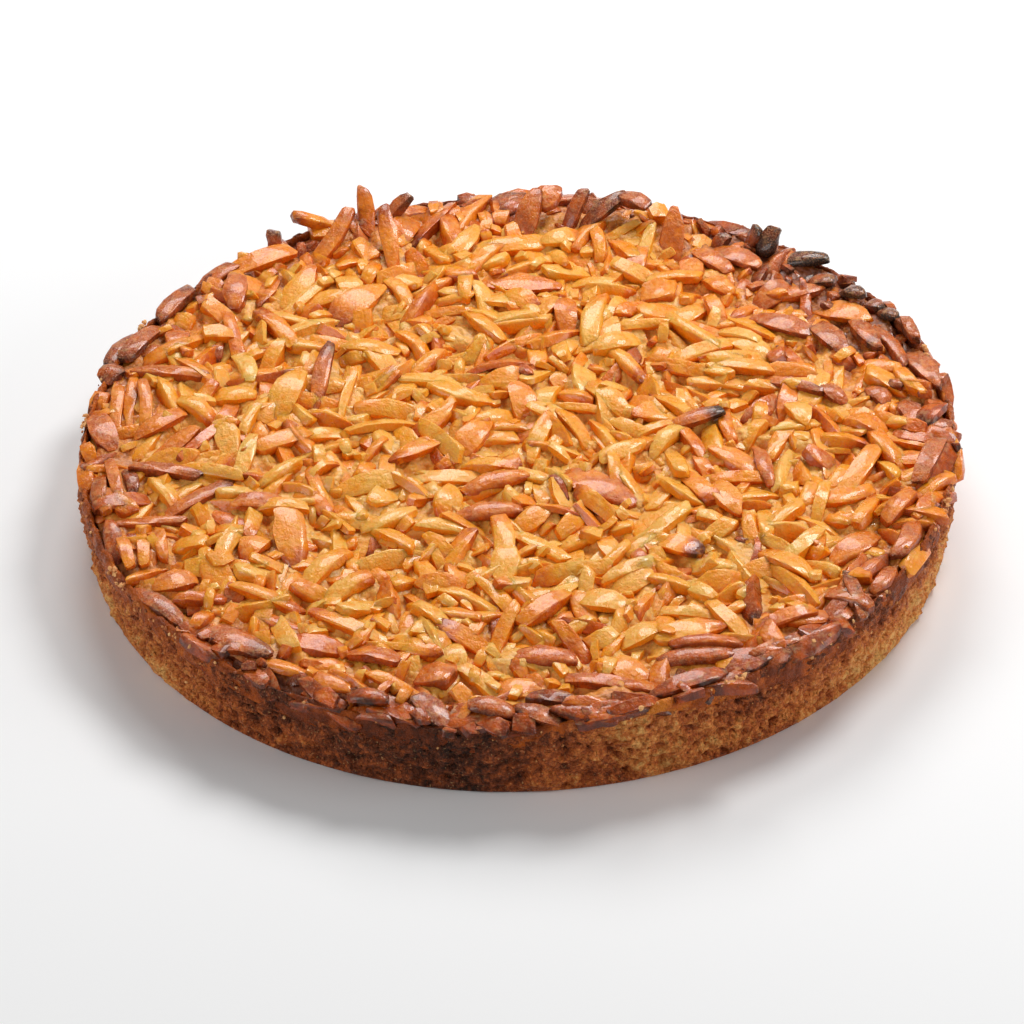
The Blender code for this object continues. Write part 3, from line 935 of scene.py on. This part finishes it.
def soaked(piece):
    # soaked with caramel at the front, and no darker than brown outside the burnt stretch
    azimuth = math.degrees(math.atan2(piece.y, piece.x)) % 360
    front = math.exp(-(((azimuth - almonds["frontAzimuth"]) / almonds["frontSpread"]) ** 2))
    darkest = almonds["lipDarkest"] + 0.03 * front + 0.18 * float(burntShare(piece.x, piece.y))
    piece.tipDark = min(piece.tipDark, 0.15)
    piece.toast = min(piece.toast + almonds["frontDark"] * front, darkest)
    piece.tone *= 1 - front
    return piece


def rimPiece(draw, kind, azimuth, inset, shrink=1.0):
    radius = tart["rimRadius"] - inset
    x, y = radius * math.cos(azimuth), radius * math.sin(azimuth)
    return soaked(drawnPiece(draw, kind, x, y, shrink))


def lipPieces(draw, surface):
    # a row over the lip's edge, leaning outward, with bits of broken almond stuck beside them
    row = almonds["lip"]
    low, high = almonds["bareLip"]
    for number in range(row["count"]):
        azimuth = math.tau * (number + draw.uniform(-0.4, 0.4)) / row["count"]
        if low < math.degrees(azimuth) % 360 < high and number % 3:
            continue
        kind = drawnKind(draw, row["kinds"])
        piece = rimPiece(draw, kind, azimuth, draw.uniform(1.6, 4.4) * mm, 0.9)
        piece.yaw = azimuth + math.pi / 2 + draw.gauss(0, 0.25)
        piece.roll = -math.radians(draw.uniform(-25, 32))
        piece.pitch = math.radians(draw.gauss(0, 13))
        if surface.laid(piece, row["keptLimit"]):
            piece.z -= draw.uniform(-0.2, 1.2) * mm
            yield piece
        for _ in range(draw.choice((0, 1, 2))):
            inset = draw.uniform(1.4, 5.5) * mm
            bit = rimPiece(draw, "chip", azimuth + draw.uniform(-0.09, 0.09), inset)
            bit.pitch = math.radians(draw.gauss(0, 25))
            if surface.laid(bit, row["keptLimit"]):
                yield bit


def ringPieces(draw, surface):
    # most of them lie along the lip, turned outward, and the others point out and rise
    ring = almonds["ring"]
    for number in range(ring["count"]):
        azimuth = math.tau * (number + draw.uniform(-0.4, 0.4)) / ring["count"]
        degrees = math.degrees(azimuth) % 360
        alongLip = draw.random() < (0.7 if 200 < degrees < 330 else 0.45)
        kind = drawnKind(draw, ring["kinds"])
        inset = draw.uniform(*((2.5, 7) if alongLip else (8, 13))) * mm
        piece = rimPiece(draw, kind, azimuth, inset)
        piece.yaw = azimuth + (math.pi / 2 if alongLip else 0) + draw.gauss(0, 0.3)
        if alongLip:
            piece.roll = math.radians(draw.uniform(5, 42))
        else:
            piece.pitch = math.radians(draw.uniform(2, 20 if degrees < 200 else 12))
            piece.rise = 1
        turnAtLip(piece)
        if surface.laid(piece, ring["keptLimit"]):
            yield piece


def chipPieces(draw, surface):
    for _ in range(almonds["chipCount"]):
        places = []
        for _ in range(almonds["chipTries"]):
            radius, x, y = drawnPlace(draw, tart["rimRadius"] - 4 * mm)
            height = surface.height[int(surface.tick(y)), int(surface.tick(x))]
            places.append((height - bedHeight(radius), x, y))
        _, x, y = min(places)
        piece = drawnPiece(draw, "chip", x, y)
        piece.toast -= 0.12
        if surface.rest(piece):
            yield piece


def layAlmonds():
    draw = random.Random(almonds["seed"])
    surface = TopSurface()
    standing = list(standingPieces(draw))
    pieces = list(spreadPieces(draw, surface, **almonds["under"]))
    for piece in standing:
        surface.keep(piece)
    pieces += lipPieces(draw, surface)
    pieces += ringPieces(draw, surface)
    pieces += spreadPieces(draw, surface, **almonds["main"])
    pieces += chipPieces(draw, surface)
    for piece in standing:
        surface.rest(piece)
    print("almonds laid", len(pieces) + len(standing))
    return pieces + standing, surface


# the shapes that the almonds are cut to, each one long, wide and thick before it is sized

cuts = {
    "corners": 8,
    "unevenness": 0.05,
    # degrees from which an edge is crisp, one of them for each shape
    "sharpFrom": (34, 40, 60),
    # for each kind: how many shapes, where its rings lie along it, how much its left side, its
    # right side and its thickness narrow towards the ends, how it bends sideways and upward, how
    # far it twists, and how round it is, from 0 for a box
    "strip": {
        "count": 10, "stations": (-0.5, -0.46, -0.24, 0.04, 0.3, 0.46, 0.5),
        "narrowing": ((0.0, 0.3), (0.1, 0.75), (0.0, 0.45)),
        "bending": ((-0.2, 0.2), (-0.05, 0.5)), "twist": 0.7, "roundness": 0.22,
    },
    "block": {
        "count": 6, "stations": (-0.5, -0.45, 0.0, 0.45, 0.5),
        "narrowing": ((0.0, 0.35), (0.1, 0.5), (0.05, 0.4)), "bending": ((-0.05, 0.05), (0, 0.15)),
        "twist": 0.35, "roundness": 0.28,
    },
    "half": {
        "count": 6, "stations": (-0.5, -0.46, -0.34, -0.12, 0.14, 0.36, 0.47, 0.5),
        "narrowing": ((0.3, 0.7), (0.5, 0.85), (0.25, 0.55)),
        "bending": ((-0.08, 0.08), (0.05, 0.5)), "twist": 0.3, "roundness": 0.42,
    },
    "flake": {
        "count": 6, "stations": (-0.5, -0.46, -0.34, -0.12, 0.14, 0.36, 0.47, 0.5),
        "narrowing": ((0.5, 0.85), (0.55, 0.85), (0.1, 0.3)),
        "bending": ((-0.06, 0.06), (0.1, 1.3)), "twist": 0.4, "roundness": 0.22,
    },
}


def narrowed(along, amount, power, shift):
    # 1 in the middle, less toward the ends
    return max(0.1, 1 - amount * min(1.25, abs(2 * along + shift)) ** power)


def cutAlmond(name, kind, draw):
    # rings of corners along the almond, joined into one closed skin
    rules = cuts[kind]
    shape = bmesh.new()
    grain = shape.verts.layers.float_vector.new("grain")
    edgeLayer = shape.verts.layers.float.new("edge")
    spans = rules["narrowing"] + rules["bending"]
    *amounts, bendFlat, bendUp = (draw.uniform(*span) for span in spans)
    twist = draw.uniform(-rules["twist"], rules["twist"])
    shifts = [draw.uniform(-0.25, 0.25) for _ in range(3)]
    powers = [draw.uniform(1.7, 2.8) for _ in range(3)]
    slant = draw.uniform(-0.09, 0.09)
    rough = cuts["unevenness"] * (1.7 if kind == "block" else 1)
    rings = []
    for along in rules["stations"]:
        atEnd = 0.7 if abs(along) > 0.49 else 1.0
        leftWidth, rightWidth, halfThickness = (
            0.5 * narrowed(along, *numbers) * atEnd for numbers in zip(amounts, powers, shifts)
        )
        nearEnd = float(smoothStep(0.36, 0.5, abs(along)))
        arch = (0.25 - along * along) * 4
        turn = twist * along
        ring = []
        for corner in range(cuts["corners"]):
            angle = math.tau * (corner + 0.5) / cuts["corners"]
            cosine, sine = math.cos(angle), math.sin(angle)
            # a half kernel is rounder on its upper side
            power = 0.65 if kind == "half" and sine > 0 else rules["roundness"]
            across = abs(cosine) ** power * (rightWidth if cosine > 0 else -leftWidth)
            up = math.copysign(abs(sine) ** power, sine) * halfThickness
            x = along + slant * across * 2 * abs(2 * along) ** 3
            y = across * math.cos(turn) - up * math.sin(turn) + bendFlat * arch
            z = up * math.cos(turn) + across * math.sin(turn) + bendUp * (arch - 0.5)
            aside = [draw.uniform(-1, 1) * rough for _ in range(3)]
            vertex = shape.verts.new((x + aside[0] * 0.1, y + aside[1], z + aside[2]))
            vertex[grain] = (along, across, up)
            outline = abs(cosine) if kind in ("half", "flake") else 0.45 * abs(cosine)
            vertex[edgeLayer] = max(outline, nearEnd)
            ring.append(vertex)
        rings.append(ring)
    for ring, following in zip(rings, rings[1:]):
        for i in range(len(ring)):
            j = (i + 1) % len(ring)
            shape.faces.new((ring[i], ring[j], following[j], following[i])).smooth = True
    shape.faces.new(list(reversed(rings[0])))
    shape.faces.new(rings[-1])
    bmesh.ops.recalc_face_normals(shape, faces=shape.faces)
    # crisp where the knife cut, judged at the almond's usual length, width and thickness
    sharpFrom = math.radians(draw.choice(cuts["sharpFrom"]))
    usual = [sum(span) / 20 for span in almonds[kind]]
    bmesh.ops.scale(shape, vec=usual, verts=shape.verts)
    shape.normal_update()
    for edge in shape.edges:
        edge.smooth = edge.calc_face_angle(0) < sharpFrom
    bmesh.ops.scale(shape, vec=[1 / side for side in usual], verts=shape.verts)
    return meshFrom(shape, name)


def scatterTree():
    # sets one of the shapes on each point, turned and sized by the point's attributes
    tree = bpy.data.node_groups.new("almondScatter", "GeometryNodeTree")
    inputs = {}
    for name, kind in (
        ("Points", "Geometry"), ("Shapes", "Collection"), ("Glaze", "Material"), ("Size", "Float"),
        ("Wobble", "Float"), ("Seed", "Int"),
    ):
        socket = tree.interface.new_socket(name, in_out="INPUT", socket_type="NodeSocket" + kind)
        inputs[name] = socket.identifier
    tree.interface.new_socket("Almonds", in_out="OUTPUT", socket_type="NodeSocketGeometry")
    source = tree.nodes.new("NodeGroupInput").outputs

    def add(kind, values, output=0, **settings):
        return addNode(tree, kind, values, output, **settings)

    def attribute(name, kind):
        named = {"Name": name}
        return add("GeometryNodeInputNamedAttribute", named, "Attribute", data_type=kind)

    def scaled(vector, factor):
        return add("ShaderNodeVectorMath", {0: vector, "Scale": factor}, operation="SCALE")

    wobble = {"Min": (-1, -1, -1), "Max": (1, 1, 1), "Seed": source["Seed"]}
    wobble = add("FunctionNodeRandomValue", wobble, "Value", data_type="FLOAT_VECTOR")
    turn = {0: attribute("turn", "FLOAT_VECTOR"), 1: scaled(wobble, source["Wobble"])}
    turn = add("ShaderNodeVectorMath", turn, operation="ADD")
    shapes = {"Collection": source["Shapes"], "Separate Children": True, "Reset Children": True}
    placed = {
        "Points": source["Points"], "Instance": add("GeometryNodeCollectionInfo", shapes),
        "Pick Instance": True, "Instance Index": attribute("shape", "INT"),
        "Rotation": add("FunctionNodeEulerToRotation", {0: turn}),
        "Scale": scaled(attribute("extent", "FLOAT_VECTOR"), source["Size"]),
    }
    real = add("GeometryNodeRealizeInstances", {0: add("GeometryNodeInstanceOnPoints", placed)})
    glazed = add("GeometryNodeSetMaterial", {"Geometry": real, "Material": source["Glaze"]})
    tree.links.new(glazed, tree.nodes.new("NodeGroupOutput").inputs[0])
    return tree, inputs


def grownMesh(name, pieces, shapes, material, scatter, wobble):
    # one point for each piece, then the tree's result as a plain mesh
    points = bpy.data.meshes.new(name + "Points")
    points.from_pydata([(piece.x, piece.y, piece.z) for piece in pieces], [], [])
    turns = [(piece.roll, -piece.pitch, piece.yaw) for piece in pieces]
    extents = [(piece.length, piece.width, piece.thickness) for piece in pieces]
    addAttribute(points, "turn", turns, "FLOAT_VECTOR")
    addAttribute(points, "extent", extents, "FLOAT_VECTOR")
    count = len(shapes.objects)
    shape = points.attributes.new("shape", "INT", "POINT")
    shape.data.foreach_set("value", [int(piece.shape * count) % count for piece in pieces])
    for field in ("toast", "tipDark", "tone"):
        addAttribute(points, field, [getattr(piece, field) for piece in pieces])
    holder = bpy.data.objects.new(name + "Points", points)
    bpy.context.scene.collection.objects.link(holder)
    modifier = holder.modifiers.new("scatter", "NODES")
    tree, inputs = scatter
    modifier.node_group = tree
    for label, value in (
        ("Shapes", shapes), ("Glaze", material), ("Size", 1.0), ("Wobble", wobble),
        ("Seed", almonds["seed"]),
    ):
        modifier[inputs[label]] = value
    bpy.context.view_layer.update()
    evaluated = holder.evaluated_get(bpy.context.evaluated_depsgraph_get())
    mesh = bpy.data.meshes.new_from_object(evaluated)
    mesh.name = name
    bpy.data.objects.remove(holder)
    # the shapes have done their work
    for shape in list(shapes.objects):
        bpy.data.objects.remove(shape)
    return mesh


# the almonds' skin under its glaze: colours along their two ramps, from pale to burnt

glaze = {
    "places": (0.0, 0.14, 0.28, 0.42, 0.56, 0.70, 0.86, 1.0),
    "golden": (
        (244, 181, 72), (246, 162, 30), (241, 135, 10), (212, 94, 8), (172, 70, 10), (122, 46, 10),
        (78, 33, 11), (36, 23, 17),
    ),
    "pink": (
        (244, 187, 98), (245, 167, 58), (237, 137, 38), (202, 100, 24), (170, 78, 26),
        (124, 56, 24), (80, 43, 24), (44, 35, 31),
    ),
    "sugarFilmAndSheen": (255, 208, 140),
    "thick": (248, 148, 6),
    "crystalsAndSheen": (224, 158, 112),
}


def almondMaterial():
    recipe = Recipe("glazedAlmond")
    place = recipe.place()
    grain, extent = recipe.attribute("grain", "Vector"), recipe.attribute("extent", "Vector")
    tone, own = recipe.attribute("tone"), recipe.attribute("toast")
    # each almond gets its own stretch of the patterns
    seed = recipe.sums("MULTIPLY_ADD", tone, 0.37, recipe.product(own, 0.91))
    local = recipe.vectors("ADD", recipe.vectors("MULTIPLY", grain, extent), seed)
    mottle = recipe.noise(local, 3.8 * mm, 3)
    streaks = recipe.noise(recipe.vectors("MULTIPLY", local, (0.6, 1.0, 1.0)), 1.1 * mm, 3, 0.6)
    ripples = recipe.noise(recipe.vectors("MULTIPLY", local, (0.35, 1.0, 1.0)), 2.0 * mm, 2)
    pores = recipe.between(recipe.cells(local, 0.8 * mm), 0.0, 0.3, 1.0, 0.0)
    folds = recipe.sums("ADD", recipe.noise(local, 2.6 * mm, 1), -0.5)
    cracks = recipe.between(recipe.sums("ABSOLUTE", folds), 0.0, 0.03)
    lumps = recipe.noise(place, 1.6 * mm, 3, 0.55)
    sugar = recipe.noise(place, 0.5 * mm, 3, 0.6)
    sugarFilmAndSheen = recipe.noise(place, 1.9 * mm, 4, 0.65)
    thick = recipe.noise(place, 3.0 * mm, 3, 0.55)
    toEnd = recipe.between(recipe.add("SeparateXYZ", {0: grain}, "X"), 0.05, 0.5)
    # painted light: the faces that look up are made paler, where the lamps above fall on them
    normal = recipe.add("NewGeometry", {}, "Normal")
    upward = recipe.between(recipe.add("SeparateXYZ", {0: normal}, "Z"), 0.2, 0.95)
    # edges browned on the dark ones; on the light ones painted paler, as a glow of light through
    # their thin edges
    brown = recipe.between(own, 0.45, 0.8)
    edgeBrowningAndGlow = recipe.product(
        recipe.attribute("edge"), recipe.between(mottle, 0.35, 0.62),
        recipe.sums("MULTIPLY_ADD", brown, 0.36, -0.08),
    )
    toast = recipe.total(
        own, (recipe.attribute("tipDark"), toEnd), (edgeBrowningAndGlow, 1.0), (mottle, 0.62), (streaks, 0.16),
        (recipe.product(pores, brown), 0.14), (upward, -0.20), (sugarFilmAndSheen, 0.16), shift=-0.34,
        clamp=False,
    )
    # golden at one end of the tone, pinkish beige at the other, and painted light on top of that:
    # faces that look up lean pinkish beige, the sides stay golden
    scaled = recipe.sums("MULTIPLY", toast, 0.7, clamp=True)
    golden, pink = (
        recipe.ramp(scaled, list(zip(glaze["places"], glaze[name]))) for name in ("golden", "pink")
    )
    colour = recipe.mix(recipe.total(-0.15, (tone, 0.7), (upward, 0.45)), golden, pink)
    # a thin whitish film of dried sugar in patches, only on the faces that look up: partly the
    # sugar's own colour, partly a painted sheen
    share = recipe.product(recipe.between(sugarFilmAndSheen, 0.5, 0.66), upward, 0.24)
    colour = recipe.mix(share, colour, sRgb(*glaze["sugarFilmAndSheen"]))
    # thicker glaze in others, on the pale ones
    palest = recipe.between(own, 0.4, 0.65, 0.55, 0.0)
    share = recipe.product(recipe.between(thick, 0.5, 0.64), palest)
    colour = recipe.mix(share, colour, sRgb(*glaze["thick"]))
    # and crystals of sugar on the brown ones, most on the faces that look up: partly the sugar's
    # own colour, partly a painted sheen
    share = recipe.product(
        recipe.between(sugar, 0.5, 0.64), recipe.between(own, 0.5, 0.72, 0.0, 0.55),
        recipe.between(tone, 0.1, 0.4), recipe.sums("MULTIPLY_ADD", upward, 0.7, 0.3),
    )
    recipe.set(
        Base_Color=recipe.mix(share, colour, sRgb(*glaze["crystalsAndSheen"])),
        Roughness=recipe.between(sugarFilmAndSheen, 0.35, 0.65, 0.2, 0.48),
        Specular_IOR_Level=0.32,
        Subsurface_Weight=0.4,
        Subsurface_Radius=(1.0, 0.72, 0.5),
        Subsurface_Scale=1.4 * mm,
        Coat_Weight=0.4,
        Coat_Roughness=0.09,
        Normal=recipe.bumps(
            (streaks, 0.35, 0.4 * mm), (ripples, 0.5, 0.7 * mm), (lumps, 0.7, 0.75 * mm),
            (cracks, 0.35, 0.2 * mm),
            (recipe.product(sugar, recipe.between(own, 0.5, 0.72, 0.3, 1.0)), 0.5, 0.28 * mm),
        ),
    )
    return recipe.material


def makeAlmonds(pieces):
    draw = random.Random(almonds["seed"] + 1)
    scatter = scatterTree()
    material = almondMaterial()
    for kind, name in (
        ("strip", "almondStrips"), ("block", "almondBlocks"), ("half", "almondHalves"),
        ("flake", "almondFlakes"),
    ):
        meshes = [cutAlmond(f"{kind}Shape{n}", kind, draw) for n in range(cuts[kind]["count"])]
        chosen = [piece for piece in pieces if piece.kind == kind]
        shapes = shapesOf(kind + "Shapes", meshes)
        mesh = grownMesh(name, chosen, shapes, material, scatter, 0.03)
        addPiece(mesh, material, "almonds", "almond_filling")


# caramel that boiled over the lip

caramel = {
    "segments": 1400,
    "corners": 32,
    "above": 0.1 * mm,
    "halfHeight": 4.4 * mm,
    "halfThickness": 1.5 * mm,
    "inset": 1.6 * mm,
    # it gets this much thinner down the side, so that its lower edge comes out ragged
    "thinning": 1.2 * mm,
    "swellSize": 26 * mm,
    "lumpHeight": 1.3 * mm,
    "lumpSize": 6.5 * mm,
    "blobHeight": 0.9 * mm,
    "blobSize": 2.0 * mm,
    "riseHeight": 1.3 * mm,
    "riseSize": 9 * mm,
    # how far down the side it ran, as a share of twice its half height, by azimuth
    "reach": (
        (0, 0.70), (60, 0.80), (120, 0.70), (180, 0.70), (215, 0.90), (245, 1.15), (262, 1.10),
        (274, 0.70), (284, 0.34), (294, 0.70), (308, 1.15), (330, 1.05), (350, 0.90), (360, 0.70),
    ),
    # from thin to burnt
    "colours": (
        (0.0, (230, 136, 44)), (0.35, (190, 92, 26)), (0.65, (134, 58, 18)), (1.0, (62, 29, 13)),
    ),
}


def makeCaramel():
    segments, corners = caramel["segments"], caramel["corners"]
    turn = np.repeat(np.linspace(0, math.tau, segments, endpoint=False), corners)
    corner = np.tile(np.linspace(0, math.tau, corners, endpoint=False), segments)
    radius = tart["rimRadius"] - caramel["inset"] + caramel["halfThickness"] * np.cos(corner)
    crest = tart["lipHeight"] + caramel["above"]
    reach = eased(caramel["reach"], np.degrees(turn))
    z = crest - caramel["halfHeight"] * reach * (1 - np.sin(corner))
    points = np.column_stack((radius * np.cos(turn), radius * np.sin(turn), z))
    swell = noiseAt(points * (1, 1, 0.3), caramel["swellSize"])
    lumps = noiseAt(points * (1, 1, 0.55), caramel["lumpSize"], 2)
    blobs = 0.5 - cellsAt(points, caramel["blobSize"])
    uneven = noiseAt(points * (1, 1, 0), caramel["riseSize"], 3)
    lower = (crest - z) / (2 * caramel["halfHeight"])
    push = caramel["lumpHeight"] * (lumps + 0.7 * swell) + caramel["blobHeight"] * blobs
    push -= caramel["thinning"] * lower
    outward = np.cos(corner) * push
    upward = np.maximum(0, np.sin(corner)) * (push * 0.5 + caramel["riseHeight"] * uneven)
    points += np.column_stack((outward * np.cos(turn), outward * np.sin(turn), upward))
    points = np.column_stack(madeUneven(*points.T))
    mesh = smoothMesh("caramelEdge", points, ringFaces(segments, corners, closed=True))
    azimuth = azimuthOf(points[:, 0], points[:, 1])
    # darker by azimuth as the crust's upper side, which at the front is partly painted shade
    addAttribute(mesh, "baked", eased(crust["bakedAndShadedHigh"], azimuth) + 0.25 * lumps)
    addPiece(mesh, caramelMaterial(), "almonds", "almond_filling")


def caramelMaterial():
    recipe = Recipe("burntCaramel")
    place = recipe.place()
    mottle = recipe.noise(place, 4 * mm, 4, 0.6)
    fine = recipe.noise(place, 0.9 * mm, 3)
    dark = recipe.total(recipe.attribute("baked"), (mottle, 0.9), shift=-0.55)
    recipe.set(
        Base_Color=recipe.ramp(dark, caramel["colours"]),
        Roughness=recipe.between(fine, 0.3, 0.7, 0.18, 0.45), Specular_IOR_Level=0.18,
        Normal=recipe.bumps((mottle, 1.0, 1.6 * mm), (fine, 1.0, 0.8 * mm)),
    )
    return recipe.material


# crumbs knocked off along the upper edge and caught on the side

crumbs = {
    "count": 420,
    "shapes": 4,
    "size": (0.5 * mm, 1.5 * mm),
    "big": (0.6 * mm, 2.2 * mm),
    "seed": 9,
    # azimuths where the edge broke and pale crumbs were left, and how many at each
    "broken": (206, 220, 283, 297, 310, 343, 18, 150, 172),
    "atEach": 13,
    "lowest": 2 * mm,
    # from pale to dark
    "colours": (
        (0.0, (246, 190, 124)), (0.4, (220, 144, 82)), (0.75, (164, 88, 46)), (1.0, (98, 50, 30)),
    ),
}


def crumbMesh(name, draw):
    shape = bmesh.new()
    bmesh.ops.create_icosphere(shape, subdivisions=1, radius=0.5)
    for vertex in shape.verts:
        vertex.co *= draw.uniform(0.65, 1.15)
    return meshFrom(shape, name)


def crumbPieces(draw):
    # the big pale ones come first, a cluster at each broken place
    rim, base, lipTop = tart["rimRadius"], tart["baseRadius"], tart["lipHeight"]
    for number in range(crumbs["count"]):
        big = number < len(crumbs["broken"]) * crumbs["atEach"]
        size = draw.uniform(*crumbs["big" if big else "size"])
        azimuth = draw.uniform(0, math.tau)
        if big:
            place = crumbs["broken"][number // crumbs["atEach"]]
            azimuth = math.radians(place + draw.gauss(0, 1.3))
        below = abs(draw.gauss(0, 1.8 if big else 5.5)) * mm
        height = max(crumbs["lowest"], lipTop + (1.0 if big else 0.4) * mm - below)
        radius = base + (rim - base) * height / lipTop
        radius -= draw.uniform(-0.2, 1.3) * mm if big else 0.35 * mm
        x, y, z = madeUneven(radius * math.cos(azimuth), radius * math.sin(azimuth), height)
        yield SimpleNamespace(
            x=float(x), y=float(y), z=float(z), roll=draw.uniform(0, 6), pitch=draw.uniform(0, 6),
            yaw=draw.uniform(0, 6), length=size * draw.uniform(1, 1.6), width=size,
            thickness=size * 0.8, shape=draw.random(),
            toast=draw.uniform(0.0, 0.35 if big else 0.9), tipDark=0.0, tone=draw.random(),
        )


def makeCrumbs():
    draw = random.Random(crumbs["seed"])
    meshes = [crumbMesh(f"crumbShape{number}", draw) for number in range(crumbs["shapes"])]
    pieces = list(crumbPieces(draw))
    material = crumbMaterial()
    shapes = shapesOf("crumbShapes", meshes)
    mesh = grownMesh("looseCrumbs", pieces, shapes, material, scatterTree(), 0.0)
    addPiece(mesh, material, "crust", "crust")


def crumbMaterial():
    recipe = Recipe("looseCrumb")
    grain = recipe.noise(recipe.place(), 0.7 * mm, 3)
    shade = recipe.total(recipe.attribute("toast"), (grain, 0.5), shift=-0.25)
    recipe.set(
        Base_Color=recipe.ramp(shade, crumbs["colours"]),
        Roughness=recipe.between(grain, 0.3, 0.7, 0.7, 0.9),
        Normal=recipe.bumps((grain, 0.6, 0.3 * mm)),
    )
    return recipe.material


# stage, light and camera

studio = {
    "floorSize": 3.0,
    "floorColour": (0.92, 0.92, 0.92, 1),
    "floorRoughness": 0.7,
    "worldStrength": 0.19,
    # name: azimuth, elevation, distance, size, power
    "lights": {
        "key": (46, 52, 0.9, 0.32, 4.4), "back": (94, 42, 1.2, 0.55, 6.2),
        "fill": (205, 28, 1.0, 0.5, 2.5), "side": (-20, 22, 1.0, 0.5, 2.7),
    },
}

# view fitted to the tart's foot and rim in the photograph
view = {
    "pitch": 38.411,
    "roll": -1.772,
    "sensorWidth": 36,
    "focalLength": 210.94,
    "distance": 1782.13 * mm,
    "aside": 3.137 * mm,
    "below": 0.117 * mm,
}


def makeStage():
    shape = bmesh.new()
    bmesh.ops.create_grid(shape, x_segments=1, y_segments=1, size=studio["floorSize"])
    mesh = meshFrom(shape, "floor")
    floor = bpy.data.objects.new("floor", mesh)
    bpy.context.scene.collection.objects.link(floor)
    recipe = Recipe("paleFloor")
    recipe.set(Base_Color=studio["floorColour"], Roughness=studio["floorRoughness"])
    mesh.materials.append(recipe.material)


def makeLights():
    world = bpy.data.worlds.new("softRoom")
    world.use_nodes = True
    room = world.node_tree.nodes["Background"].inputs
    room["Color"].default_value = (1, 1, 1, 1)
    room["Strength"].default_value = studio["worldStrength"]
    bpy.context.scene.world = world
    for name, (azimuth, elevation, distance, size, power) in studio["lights"].items():
        azimuth, elevation = math.radians(azimuth), math.radians(elevation)
        light = bpy.data.lights.new(name, "AREA")
        light.shape = "DISK"
        light.size = size
        light.energy = power
        lamp = bpy.data.objects.new(name, light)
        across = math.cos(elevation) * distance
        lamp.location = (
            across * math.cos(azimuth), across * math.sin(azimuth), math.sin(elevation) * distance,
        )
        lamp.rotation_euler = (-lamp.location).to_track_quat("-Z", "Y").to_euler()
        bpy.context.scene.collection.objects.link(lamp)


def makeCamera():
    pitch, roll = math.radians(view["pitch"]), math.radians(view["roll"])
    right = Vector((1, 0, 0))
    forward = Vector((0, math.cos(pitch), -math.sin(pitch)))
    down = Vector((0, -math.sin(pitch), -math.cos(pitch)))
    spot = -(view["aside"] * right + view["below"] * down + view["distance"] * forward)
    across = math.cos(roll) * right - math.sin(roll) * down
    up = -(math.sin(roll) * right + math.cos(roll) * down)
    camera = bpy.data.objects.new("camera", bpy.data.cameras.new("camera"))
    camera.data.sensor_width = view["sensorWidth"]
    camera.data.lens = view["focalLength"]
    turned = Matrix((across, up, -forward)).transposed().to_4x4()
    camera.matrix_world = Matrix.Translation(spot) @ turned
    bpy.context.scene.collection.objects.link(camera)
    bpy.context.scene.camera = camera


bpy.context.scene.view_settings.view_transform = "Standard"
makeCamera()
makeStage()
makeLights()
print("camera, floor and lights are set")
makeCrust()
pieces, surface = layAlmonds()
makeFilling(surface)
print("case and filling are made")
makeAlmonds(pieces)
makeCaramel()
makeCrumbs()
print("almonds, caramel and crumbs are made")
